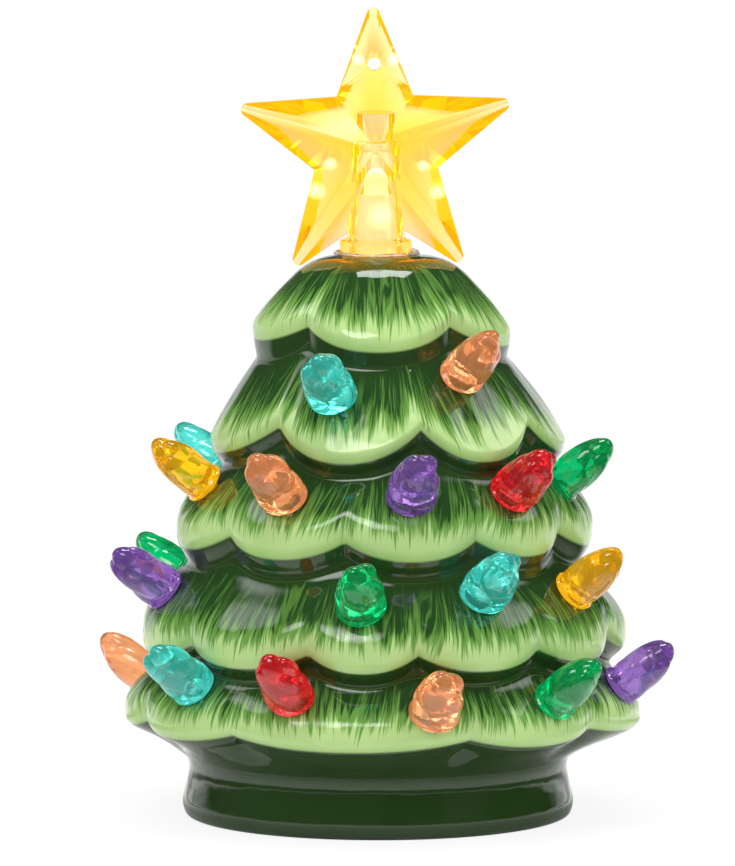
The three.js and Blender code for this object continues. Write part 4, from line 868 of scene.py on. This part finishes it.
def star_mesh():
    """Five ridged points with blunt, rounded ends and a flat band round the edge, at the origin."""
    form = bmesh.new()
    notch = Vector((STAR_NOTCH_RADIUS * math.sin(math.pi / 5), STAR_NOTCH_RADIUS * math.cos(math.pi / 5)))
    # half the width of a point where it is cut off, and how high its ridge stands there
    blunt = (STAR_SHARP_RADIUS - STAR_RADIUS) * notch.x / (STAR_SHARP_RADIUS - notch.y)
    ridge = STAR_EDGE / 2 + (STAR_DEPTH - STAR_EDGE) / 2 * (1 - STAR_RADIUS / STAR_SHARP_RADIUS)
    outline = []
    for i in range(5):
        turn = 2 * math.pi * i / 5 - math.radians(STAR_LEAN)
        corners = [(-blunt, STAR_RADIUS, STAR_EDGE / 2), (0, STAR_RADIUS, ridge),
                   (blunt, STAR_RADIUS, STAR_EDGE / 2), (notch.x, notch.y, STAR_EDGE / 2)]
        for x, z, depth in corners:
            outline.append((x * math.cos(turn) + z * math.sin(turn),
                z * math.cos(turn) - x * math.sin(turn), depth))
    front, back = (form.verts.new((0, side * STAR_DEPTH / 2 * MM, 0)) for side in (-1, 1))
    near = [form.verts.new((x * MM, -depth * MM, z * MM)) for x, z, depth in outline]
    far = [form.verts.new((x * MM, depth * MM, z * MM)) for x, z, depth in outline]
    ends = []
    for i in range(5):
        left, top, right, dent = (4 * i + k for k in range(4))
        before = (left - 1) % len(outline)
        form.faces.new((front, near[top], near[right], near[dent]))
        form.faces.new((front, near[before], near[left], near[top]))
        form.faces.new((back, far[dent], far[right], far[top]))
        form.faces.new((back, far[top], far[left], far[before]))
        form.faces.new((near[left], far[left], far[top], far[right], near[right], near[top]))
        form.faces.new((near[right], far[right], far[dent], near[dent]))
        form.faces.new((near[before], far[before], far[left], near[left]))
        ends += [form.edges.get((near[k], far[k])) for k in (left, right)]
    bmesh.ops.recalc_face_normals(form, faces=form.faces)
    bmesh.ops.bevel(form, geom=ends, offset=0.75 * MM, segments=4, profile=0.5, affect="EDGES")
    return mesh_from(form, "star_points")


def star_solid():
    """The whole moulding: the star on its stem and flange, with the lamp's stepped bore and the eye."""
    sides = 64
    stem_top = STAR_CENTRE - STEM_TOP_BELOW_CENTRE
    bore_top = STAR_CENTRE + STAR_BORE_ABOVE_CENTRE
    flange_top = FLANGE_BOTTOM + FLANGE_HEIGHT
    points = star_mesh()
    points.transform(Matrix.Translation((0, 0, STAR_CENTRE * MM)))
    stem = lathe("stem", [
        (0, FLANGE_BOTTOM), (FLANGE_RADIUS - 0.2, FLANGE_BOTTOM), (FLANGE_RADIUS, FLANGE_BOTTOM + 0.2),
        (FLANGE_RADIUS, flange_top - 0.4), (FLANGE_RADIUS - 0.4, flange_top), (STEM_RADIUS + 0.3, flange_top),
        (STEM_RADIUS, flange_top + 0.3), (STEM_RADIUS, stem_top), (0, stem_top)], sides)
    bore = lathe("bore", [(0, FLANGE_BOTTOM - 1), (STAR_BORE_RADIUS, FLANGE_BOTTOM - 1),
                          (STAR_BORE_RADIUS, bore_top), (BORE_TOP_RADIUS, bore_top + 0.25),
                          (BORE_TOP_RADIUS, bore_top + BORE_TOP_LENGTH), (0,
                              bore_top + BORE_TOP_LENGTH)], sides)
    eye = lathe("eye", [(0, -STAR_DEPTH), (STAR_EYE_RADIUS, -STAR_DEPTH), (STAR_EYE_RADIUS, STAR_DEPTH),
                        (0, STAR_DEPTH)], 32)
    eye.transform(Matrix.Rotation(math.pi / 2, 4, "X"))
    lean = math.radians(STAR_LEAN)
    eye.transform(Matrix.Translation((-STAR_EYE_ABOVE_CENTRE * math.sin(lean) * MM, 0,
                                      (STAR_CENTRE + STAR_EYE_ABOVE_CENTRE) * MM)))
    mesh = with_booleans("star_moulding", points,
        [("UNION", stem), ("DIFFERENCE", bore), ("DIFFERENCE", eye)])
    mesh.transform(Matrix.Translation((STAR_X * MM, 0, 0)))
    return mesh


# Properties

class LanternTree(bpy.types.PropertyGroup):
    """Sizes and colours of the glazed tree"""

    columns: IntProperty(name="Columns", description="Points in a full turn of the skin", default=288, min=72)
    lobe_depth: FloatProperty(
        name="Lobe depth", description="How far the edge draws in at a cusp", default=2.3 * MM, unit="LENGTH")
    groove_follow: FloatProperty(
        name="Groove follow", description="How much of the scallop the groove below it keeps", default=0.85)
    fold_depth: FloatProperty(
        name="Fold depth", description="Height of the soft folds down each slope", default=1.3 * MM,
        unit="LENGTH")
    pooling: IntProperty(
        name="Pooling", description="How often the corners under the tiers are rounded", default=10, min=0)
    light_band: FloatProperty(
        name="Light band", description="Height of the light edge that the needles leave bare",
        default=3.9 * MM, unit="LENGTH")
    light_green: FloatVectorProperty(
        name="Light green", description="Glaze along the edges", subtype="COLOR", size=4,
        default=linear("#84AA59"))
    pale_green: FloatVectorProperty(
        name="Pale green", description="Thin glaze along the edges", subtype="COLOR", size=4,
        default=linear("#A2BE7C"))
    leaf_green: FloatVectorProperty(
        name="Leaf green", description="First, thin coat of needles", subtype="COLOR", size=4,
        default=linear("#5C883C"))
    dark_green: FloatVectorProperty(
        name="Dark green", description="Brushed needles", subtype="COLOR", size=4,
        default=linear("#1F3D19"))
    # this colour is the foot's plain dark glaze, and under the tiers it is painted shade as well
    dark_glaze_and_shade: FloatVectorProperty(
        name="Under green", description="Plain glaze under the tiers and on the foot", subtype="COLOR",
        size=4, default=linear("#233A17"))


class LanternBulbs(bpy.types.PropertyGroup):
    """Sizes and colours of the plug-in bulbs"""

    width: FloatProperty(
        name="Width", description="Across the widest part of a bulb", default=9.9 * MM, unit="LENGTH")
    columns: IntProperty(name="Columns", description="Faces round a bulb", default=72, min=12)
    rows: IntProperty(name="Rows", description="Faces from a bulb's foot to its tip", default=52, min=8)
    seed: IntProperty(name="Seed", description="Chance of how each bulb is turned", default=4)
    glow: FloatProperty(name="Glow", description="How brightly the lamp shines through", default=0.14)
    red: FloatVectorProperty(
        name="Red", description="Red bulbs", subtype="COLOR", size=4, default=linear("#D01C22"))
    green: FloatVectorProperty(
        name="Green", description="Green bulbs", subtype="COLOR", size=4, default=linear("#00A052"))
    teal: FloatVectorProperty(
        name="Teal", description="Teal bulbs", subtype="COLOR", size=4, default=linear("#40C4B6"))
    peach: FloatVectorProperty(
        name="Peach", description="Peach bulbs", subtype="COLOR", size=4, default=linear("#E2935C"))
    amber: FloatVectorProperty(
        name="Amber", description="Amber bulbs", subtype="COLOR", size=4, default=linear("#F2B40C"))
    purple: FloatVectorProperty(
        name="Purple", description="Purple bulbs", subtype="COLOR", size=4, default=linear("#7C53A6"))


class LanternStar(bpy.types.PropertyGroup):
    """Sizes and colours of the star and its light"""

    rounding: FloatProperty(
        name="Rounding", description="Rounding of the moulded edges", default=0.22 * MM, unit="LENGTH")
    amber: FloatVectorProperty(
        name="Amber", description="Light that the star lets through", subtype="COLOR", size=4,
        default=linear("#FFE450"))
    depth: FloatProperty(name="Depth", description="How strongly the star takes up the rest", default=250.0)
    glow: FloatVectorProperty(
        name="Glow", description="Light that the star gives off", subtype="COLOR", size=4,
        default=linear("#FFE826"))
    glow_strength: FloatProperty(
        name="Glow strength", description="Strength of that light for each metre", default=42.0)
    glint_strength: FloatProperty(
        name="Glint strength", description="Strength of the lamp's glints in the facets", default=0.8)
    light: FloatVectorProperty(
        name="Light", description="Colour of the lamp", subtype="COLOR", size=4, default=linear("#FFF3CC"))
    lamp_strength: FloatProperty(name="Lamp strength", description="Strength of the lamp's lens",
        default=0.55)
    sleeve_strength: FloatProperty(
        name="Sleeve strength", description="Strength of the light in the sleeve", default=0.42)


class LanternBase(bpy.types.PropertyGroup):
    """Sizes of the battery base's finish"""

    rounding: FloatProperty(
        name="Rounding", description="Rounding of the moulded edges", default=0.18 * MM, unit="LENGTH")


# Operators

class LanternOperator:
    bl_options = {"REGISTER", "UNDO"}


class LANTERN_OT_tree(LanternOperator, bpy.types.Operator):
    """Makes the glazed shell: five draped tiers, the neck and the foot"""

    bl_idname = "lantern.tree"
    bl_label = "Glazed Tree"

    def execute(self, context):
        look = context.scene.lantern_tree
        glaze = glazed_earthenware(look)
        skin = skin_mesh(look.columns)
        default_zones(skin)
        source = new_object("tree_skin", skin)
        drape = drape_tree()
        start_radius, start_height = CROWN_RADIUS, CROWN_HEIGHT - CROWN_DROP
        lift_above, shift_above = 0, TIERS[0]["shift"]
        for number, tier in enumerate(TIERS):
            add_modifier(source, drape, {
                "Tier": float(number), "Start radius": start_radius * MM, "Start height": start_height * MM,
                "Lift above": lift_above * MM, "Rim radius": tier["rim"] * MM,
                "Edge height": tier["low"] * MM, "Shoulder": tier["shoulder"] * MM,
                "Shoulder weight": tier["weight"], "Lift": tier["lift"] * MM, "Lobe depth": look.lobe_depth,
                "Roll": RIM_ROLL * MM, "Roll reach": ROLL_REACH,
                "Groove radius": tier["groove"] * MM, "Groove height": tier["groove_height"] * MM,
                "Groove follow": look.groove_follow, "Fold depth": look.fold_depth,
                "Shift above": shift_above * MM, "Shift": tier["shift"] * MM, "Material": glaze})
            start_radius, start_height = tier["groove"], tier["groove_height"]
            lift_above, shift_above = tier["lift"], tier["shift"]
        add_modifier(source, pooling_tree(), {"Passes": look.pooling, "Material": glaze})
        mesh = plain_mesh(source, "glazed_tree")
        for name in ("tier", "part", "share", "bearing", "scallop_above", "raised", "soften"):
            mesh.attributes.remove(mesh.attributes[name])
        link_piece("glazed_tree", mesh, glaze, ["tree_shell"])
        return {"FINISHED"}


class LANTERN_OT_bulbs(LanternOperator, bpy.types.Operator):
    """Plants the coloured bulbs in their holes"""

    bl_idname = "lantern.bulbs"
    bl_label = "Bulbs"

    def execute(self, context):
        sizes = context.scene.lantern_bulbs
        bud = new_object("bulb_bud", bud_mesh(sizes))
        planting = planting_tree()
        for number, colour in enumerate(("red", "green", "teal", "peach", "amber", "purple")):
            seats = bulb_seats(colour)
            points = bpy.data.meshes.new("seats_" + colour)
            points.from_pydata([seat for _, seat, _ in seats], [], [])
            axes = points.attributes.new("axis", "FLOAT_VECTOR", "POINT")
            axes.data.foreach_set("vector", np.array([axis for _, _, axis in seats], np.float32).ravel())
            source = new_object("seats_" + colour, points)
            material = clear_styrene("Crystal polystyrene " + colour, getattr(sizes, colour), sizes.glow)
            add_modifier(source, planting, {
                "Bulb": bud, "Seed": sizes.seed + number, "Material": material})
            mesh = plain_mesh(source, "bulbs_" + colour)
            link_piece("bulbs_" + colour, mesh, material, [name for name, _, _ in seats])
        bpy.data.objects.remove(bud)
        return {"FINISHED"}


class LANTERN_OT_star(LanternOperator, bpy.types.Operator):
    """Makes the clear star, the glue round its flange, and the sleeve and lamp that light it"""

    bl_idname = "lantern.star"
    bl_label = "Lit Star"

    def execute(self, context):
        look = context.scene.lantern_star
        moulding = softened(star_solid(), "star_moulding", look.rounding / MM, 2, 12)
        smooth_by_angle(moulding, 30)
        amber = tinted_acrylic(look)
        link_piece("clear_star", moulding, amber, ["star_topper"])

        inner = FLANGE_RADIUS + 0.12
        bead = [(inner, FLANGE_BOTTOM - 0.25)]
        for angle in range(0, 91, 15):
            turn = math.radians(angle)
            bead.append((inner + GLUE_WIDTH * math.cos(turn),
                FLANGE_BOTTOM - 0.25 + GLUE_HEIGHT * math.sin(turn)))
        glue = lathe("glue_bead", [*bead, bead[0]], 96, (STAR_X, 0, 0))
        lump_glue(glue)
        glue.shade_smooth()
        link_piece("glue_bead", glue, clear_glue(), ["star_glue"])

        sleeve = lathe("lamp_sleeve", [
            (HOLDER_WIRE_BORE, CROWN_HEIGHT - HOLDER_SPIGOT_LENGTH),
            (HOLDER_SPIGOT_RADIUS, CROWN_HEIGHT - HOLDER_SPIGOT_LENGTH),
            (HOLDER_SPIGOT_RADIUS, FLANGE_BOTTOM), (HOLDER_RADIUS, FLANGE_BOTTOM),
            (HOLDER_RADIUS, HOLDER_TOP - 0.3), (HOLDER_RADIUS - 0.3, HOLDER_TOP),
            (LAMP_FLANGE_RADIUS + 0.3, HOLDER_TOP), (LAMP_FLANGE_RADIUS + 0.3, LAMP_BOTTOM - 0.3),
            (HOLDER_WIRE_BORE, LAMP_BOTTOM - 0.3), (HOLDER_WIRE_BORE, CROWN_HEIGHT - HOLDER_SPIGOT_LENGTH),
        ], 64, (STAR_X, 0, 0))
        smooth_by_angle(sleeve, 35)
        frosted = lit_material("Frosted polypropylene", look.light, look.sleeve_strength, {"Roughness": 0.45},
                               ((STAR_X + 0.8, -HOLDER_RADIUS, LAMP_BOTTOM - 0.6), 3.2, 3.0))
        link_piece("lamp_sleeve", sleeve, frosted, ["star_led_holder"])

        lens = [(0, 0), (LAMP_FLANGE_RADIUS, 0), (LAMP_FLANGE_RADIUS, LAMP_FLANGE_HEIGHT),
                (LAMP_RADIUS, LAMP_FLANGE_HEIGHT)]
        for angle in range(0, 91, 10):
            turn = math.radians(angle)
            lens.append((LAMP_RADIUS * math.cos(turn) if angle < 90 else 0,
                         LAMP_HEIGHT - LAMP_RADIUS + LAMP_RADIUS * math.sin(turn)))
        lamp = lathe("star_lamp", lens, 48, (STAR_X, 0, LAMP_BOTTOM))
        smooth_by_angle(lamp, 35)
        shining = lit_material("Epoxy lamp lens", look.light, look.lamp_strength, {"Roughness": 0.1},
                               ((STAR_X, 0, LAMP_BOTTOM + LAMP_HEIGHT), 3.4, 6.0))
        link_piece("star_lamp", lamp, shining, ["star_led"])
        return {"FINISHED"}


def tinted_acrylic(look):
    """Clear tinted acrylic, injection moulded: pale where it is thin, deep yellow where light crosses much.

    The lamp in its stem lights it from within, which the glow along each ray's way through stands for.
    """
    material, tree, shader = blank_material("Tinted acrylic", {
        "Roughness": 0.02, "IOR": 1.49, "Transmission Weight": 1.0, "Base Color": (1, 1, 1, 1)})
    add = partial(add_node, tree)
    depth = add("ShaderNodeVolumeAbsorption", {"Color": look.amber, "Density": look.depth})
    glow = add("ShaderNodeEmission", {"Color": look.glow, "Strength": look.glow_strength})
    both = add("ShaderNodeAddShader", depth, glow)
    output = tree.nodes["Material Output"]
    tree.links.new(both.outputs[0], output.inputs["Volume"])
    coords = add(COORDS)
    # the facets at the notches and beside the eye throw the lamp's light forward
    flat = add(MULTIPLY_VECTORS, coords.outputs["Object"], (1 / MM, 0, 1 / MM))
    glints = 0.0
    for across, height, spread in STAR_GLINTS:
        away = add(DISTANCE, flat, (STAR_X + across, 0, height))
        glint = add(SMOOTH_RANGE, away.outputs["Value"], 0.3, spread, look.glint_strength, 0.0)
        glints = add(ADD, glint, glints).outputs[0]
    tree.links.new(glints, shader.inputs["Emission Strength"])
    shader.inputs["Emission Color"].default_value = look.light
    ripple(tree, shader, 6, 0.03)
    return material


def clear_glue():
    """Cured clear adhesive: glossy, colourless and slightly milky."""
    return speckled("Clear adhesive", {"Roughness": 0.12, "IOR": 1.5, "Transmission Weight": 0.85},
                    "#F1EFE2", "#FFFFFF", 1.2, 0.05)


def lump_glue(mesh):
    """Lets the bead of glue swell at both sides and thin out at the front, as it was squeezed out."""
    for vertex in mesh.vertices:
        x, y, z = vertex.co
        x -= STAR_X * MM
        radius = math.hypot(x, y)
        angle = math.atan2(y, x)
        swell = 0.45 + 0.75 * abs(math.cos(angle)) ** 12 + 0.16 * math.sin(5 * angle + 1)
        spread = (radius - FLANGE_RADIUS * MM) * swell + FLANGE_RADIUS * MM
        base = (FLANGE_BOTTOM - 0.25) * MM
        vertex.co = (STAR_X * MM + spread * math.cos(angle), spread * math.sin(angle),
            base + (z - base) * swell)


def rounded_copy(node, name, width_mm):
    """A CAD node's own shape, welded, with its flat faces whole and a small rounding on its edges."""
    form = bmesh.new()
    form.from_mesh(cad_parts[node].data)
    bmesh.ops.remove_doubles(form, verts=form.verts, dist=1e-6)
    bmesh.ops.dissolve_limit(form, angle_limit=math.radians(1), verts=form.verts, edges=form.edges)
    mesh = mesh_from(form, name)
    mesh = softened(mesh, name, width_mm, 2, 35)
    smooth_by_angle(mesh, 32)
    return mesh


class LANTERN_OT_base(LanternOperator, bpy.types.Operator):
    """Finishes the battery housing, its door, the switch knob and the bead of silicone"""

    bl_idname = "lantern.base"
    bl_label = "Battery Base"

    def execute(self, context):
        width = context.scene.lantern_base.rounding / MM
        # moulded ABS: an even satin with a very fine spark-eroded grain
        white = speckled("White ABS", {"Roughness": 0.38, "IOR": 1.53}, "#E4E2DA", "#EEECE5", 0.5, 0.01)
        black = speckled("Black acetal", {"Roughness": 0.42, "IOR": 1.48}, "#141416", "#222225", 0.4, 0.01)
        silicone = speckled("Cured silicone", {"Roughness": 0.3, "IOR": 1.41, "Subsurface Weight": 0.2},
                            "#CFCFCB", "#E2E2DE", 2.0, 0.15)
        pieces = [("housing", "battery_housing", "lantern", white, "white_plastic"),
                  ("door", "battery_door", "battery_door", white, "white_plastic"),
                  ("knob", "switch_knob", "switch_knob", black, "black_plastic")]
        for name, node, body, material, slot in pieces:
            link_piece(name, rounded_copy(node, name, width), material, [node], body)
        dress(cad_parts["silicone_bead"].data, silicone)
        return {"FINISHED"}


class LANTERN_OT_electrics(LanternOperator, bpy.types.Operator):
    """Gives the cells, contacts, lamps, board and wires inside the base their finishes"""

    bl_idname = "lantern.electrics"
    bl_label = "Electrics"

    def execute(self, context):
        light = context.scene.lantern_star.light
        finishes = {
            "battery_[123]": speckled("Shrunk PVC jacket", {"Roughness": 0.3, "IOR": 1.53}, "#1E2023",
                                      "#2C2F34", 3.0, 0.02),
            "contact_.*": speckled("Nickel-plated spring steel", {"Roughness": 0.28, "Metallic": 1.0},
                                   "#B4B2AA", "#D2D0C8", 0.8, 0.01),
            "board_screw_.*|switch_body": speckled("Zinc-plated steel", {"Roughness": 0.35, "Metallic": 1.0},
                                                   "#A9ABAE", "#C6C8CA", 0.8, 0.01),
            "led_board": speckled("Green solder mask", {"Roughness": 0.35, "IOR": 1.5}, "#184A2A", "#236338",
                                  1.5, 0.02),
            "tree_led_.*": lit_material("Epoxy lamp lens, dim", light, 1.0, {"Roughness": 0.1}),
            "star_wire_positive|switch_wire_.*": speckled("Red PVC insulation", {
                "Roughness": 0.4, "IOR": 1.53},
                                                          "#A21A16", "#BE2A24", 1.0, 0.01),
            "star_wire_negative|battery_wire_negative": speckled(
                "Black PVC insulation", {"Roughness": 0.4, "IOR": 1.53}, "#151517", "#232326", 1.0, 0.01),
        }
        for pattern, material in finishes.items():
            for name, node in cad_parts.items():
                if re.fullmatch(pattern, name):
                    dress(node.data, material)
        return {"FINISHED"}


class LANTERN_OT_stage(LanternOperator, bpy.types.Operator):
    """Sets the white floor, the light tent round it, the lamps and the camera"""

    bl_idname = "lantern.stage"
    bl_label = "Stage"

    def execute(self, context):
        scene = context.scene
        scene.view_settings.view_transform = "Standard"
        floor_mesh = lathe("floor", [(0, -0.02), (3000, -0.02)], 96)
        floor = new_object("floor", floor_mesh)
        floor_mesh.materials.append(white_floor())
        scene.world = light_tent()
        # the first three only light the object, and the last one only shows in what gleams
        lamps = [
            ("overhead_fill", (0.0, -0.15, 1.1), (0, 0, 0.05), (0.9, 0.7), 7.3, False),
            ("front_fill", (-0.45, -0.95, 1.0), (0, 0, 0.06), (0.55, 0.5), 6.0, False),
            ("right_fill", (1.1, -0.5, 0.75), (0, 0, 0.06), (0.4, 0.8), 4.0, False),
            ("crown_window", (0.02, 0.22, 1.1), (0.0, 0, 0.1), (0.47, 0.36), 5.0, True),
        ]
        for name, place, aim, size, power, gleams in lamps:
            data = bpy.data.lights.new(name, "AREA")
            data.shape = "RECTANGLE"
            data.size, data.size_y = size
            data.energy = power
            lamp = new_object(name, data)
            lamp.visible_glossy = gleams
            lamp.visible_diffuse = not gleams
            lamp.visible_transmission = not gleams
            lamp.location = place
            lamp.rotation_euler = (Vector(aim) - Vector(place)).to_track_quat("-Z", "Y").to_euler()
        camera_data = bpy.data.cameras.new("camera")
        camera_data.sensor_fit = "VERTICAL"
        camera_data.sensor_height = CAMERA_SENSOR
        camera_data.lens = CAMERA_LENS
        camera_data.clip_end = 20
        camera = new_object("camera", camera_data)
        camera.location = CAMERA_PLACE
        camera.rotation_euler = (math.radians(CAMERA_PITCH), 0, 0)
        scene.camera = camera
        return {"FINISHED"}


def white_floor():
    """Seamless white paper: the camera sees it almost pure white, with a trace of the object's shadow."""
    material, tree, shader = blank_material("White paper sweep", {
        "Roughness": 0.9, "Specular IOR Level": 0.1})
    add = partial(add_node, tree)
    paths = add("ShaderNodeLightPath")
    coords = add(COORDS)
    away = add(LENGTH, coords.outputs["Object"])
    # the glaze shows the sheet's end near the object, in front and at its sides, and the dark room beyond
    along = add(SPLIT_XYZ, coords.outputs["Object"])
    past_end = add(SMOOTH_RANGE, away.outputs["Value"], 0.07, 0.13)
    beside = add(SMOOTH_RANGE, along.outputs["Y"], 0.05, 0.15, 1.0, 0.0)
    room = add(MULTIPLY, past_end, beside)
    mirrored = add(MULTIPLY, room, paths.outputs["Is Glossy Ray"])
    paper = add(MIX_NUMBERS, mirrored, {2: 0.9, 3: 0.05})
    tree.links.new(paper.outputs[0], shader.inputs["Base Color"])
    even = add(SMOOTH_RANGE, away.outputs["Value"], 0.06, 0.3, 0.88, 1.0)
    share = add(MULTIPLY, paths.outputs["Is Camera Ray"], even)
    white = add("ShaderNodeEmission", {"Color": (1, 1, 1, 1), "Strength": 1.0})
    both = add("ShaderNodeMixShader", share, shader, white)
    tree.links.new(both.outputs[0], tree.nodes["Material Output"].inputs["Surface"])
    return material


def light_tent():
    """A white tent that gives even light, with a dark opening in front that only shows in what gleams."""
    world = bpy.data.worlds.new("light_tent")
    world.use_nodes = True
    tree = world.node_tree
    add = partial(add_node, tree)
    tree.nodes.clear()
    coords = add(COORDS)
    aim = add(SPLIT_XYZ, coords.outputs["Generated"])
    away = add(MULTIPLY, aim.outputs["Y"], -1.0)
    bearing = add(ARCTAN2, aim.outputs["X"], away)
    turns = add(MULTIPLY_ADD, bearing, 0.5 / math.pi, 0.5)
    walls = add("ShaderNodeValToRGB", {"Fac": turns})
    # how bright the tent is at each bearing, level with the object
    stops = [(-130, 0.85), (-118, 0.03), (-100, 0.1), (0, 0.06), (8, 0.015), (38, 0.015), (41, 0.13),
             (67, 0.11), (71, 0.02), (124, 0.02), (134, 0.85)]
    ramp = walls.color_ramp
    while len(ramp.elements) < len(stops):
        ramp.elements.new(0.5)
    for element, (degrees, level) in zip(ramp.elements, stops):
        element.position = degrees / 360 + 0.5
        element.color = (level, level, level, 1)
    height = add(ARCSINE, aim.outputs["Z"])
    low = add(SMOOTH_RANGE, height, math.radians(1), math.radians(3))
    # the sides reach up to 30 degrees, and the paper behind the object only to 8
    behind = add(EVEN_RANGE, aim.outputs["Y"], 0.35, 0.7, 26, 5)
    lowest = add(RADIANS, behind)
    over = add(SUBTRACT, height, lowest)
    high = add(SMOOTH_RANGE, over, {"From Max": math.radians(8), "To Min": 1.0, "To Max": 0.0})
    # soft windows above, as bearing, height, half width in degrees and brightness
    roof = None
    for side, rise, spread, level in ((-27, 44, 16, 7.0), (-8, 46, 11, 4.0), (-95, 45, 14, 3.0),
        (95, 45, 14, 3.0)):
        side, rise = math.radians(side), math.radians(rise)
        middle = (math.sin(side) * math.cos(rise), -math.cos(side) * math.cos(rise), math.sin(rise))
        near = add(DOT_PRODUCT, coords.outputs["Generated"], middle)
        window = add(SMOOTH_RANGE, near.outputs["Value"], math.cos(math.radians(spread)), 1.0,
            0.04 if roof is None else 0.0, level)
        if roof is not None:
            window = add(ADD, roof, window)
        roof = window
    low_white = add(SUBTRACT, 1.0, low)
    lit = add(MULTIPLY_ADD, low_white, 0.8, roof)
    above = add("ShaderNodeCombineColor", lit, lit, lit)
    band = add(MULTIPLY, low, high)
    tent = add(MIX_COLOURS, band, {6: above, 7: walls.outputs["Color"]})
    paths = add("ShaderNodeLightPath")
    gleams = add(MIX_COLOURS, paths.outputs["Is Glossy Ray"], {6: (0.8, 0.8, 0.8, 1), 7: tent.outputs[2]})
    # what is clear shows white paper straight behind it, and the dimmer tent where it turns the light
    straight = add(SMOOTH_RANGE, aim.outputs["Y"], 0.8, 0.97, 0.7, 1.0)
    through = add(MULTIPLY, straight, paths.outputs["Is Transmission Ray"])
    shown = add(MAXIMUM, paths.outputs["Is Camera Ray"], through)
    colour = add(MIX_COLOURS, shown, {6: gleams.outputs[2], 7: (1, 1, 1, 1)})
    background = add("ShaderNodeBackground", {"Color": colour.outputs[2], "Strength": 1.0})
    add("ShaderNodeOutputWorld", {"Surface": background})
    return world


class LANTERN_PT_sidebar(bpy.types.Panel):
    """Lists the steps that make the lantern"""

    bl_label = "Ceramic Tree Lantern"
    bl_idname = "LANTERN_PT_sidebar"
    bl_space_type = "VIEW_3D"
    bl_region_type = "UI"
    bl_category = "Lantern"

    def draw(self, context):
        for step in STEPS:
            self.layout.operator(step.bl_idname)
        for group in GROUPS:
            box = self.layout.box()
            for name in GROUPS[group].__annotations__:
                box.prop(getattr(context.scene, group), name)


STEPS = (LANTERN_OT_tree, LANTERN_OT_bulbs, LANTERN_OT_star, LANTERN_OT_base, LANTERN_OT_electrics,
         LANTERN_OT_stage)
GROUPS = {
    "lantern_tree": LanternTree,
    "lantern_bulbs": LanternBulbs,
    "lantern_star": LanternStar,
    "lantern_base": LanternBase,
}


def register():
    for group, kind in GROUPS.items():
        bpy.utils.register_class(kind)
        setattr(bpy.types.Scene, group, PointerProperty(type=kind))
    for step in STEPS:
        bpy.utils.register_class(step)
    bpy.utils.register_class(LANTERN_PT_sidebar)


def unregister():
    bpy.utils.unregister_class(LANTERN_PT_sidebar)
    for step in reversed(STEPS):
        bpy.utils.unregister_class(step)
    for group, kind in GROUPS.items():
        delattr(bpy.types.Scene, group)
        bpy.utils.unregister_class(kind)


def main():
    register()
    for step in STEPS:
        section, name = step.bl_idname.split(".")
        getattr(getattr(bpy.ops, section), name)()


if __name__ == "__main__":
    main()
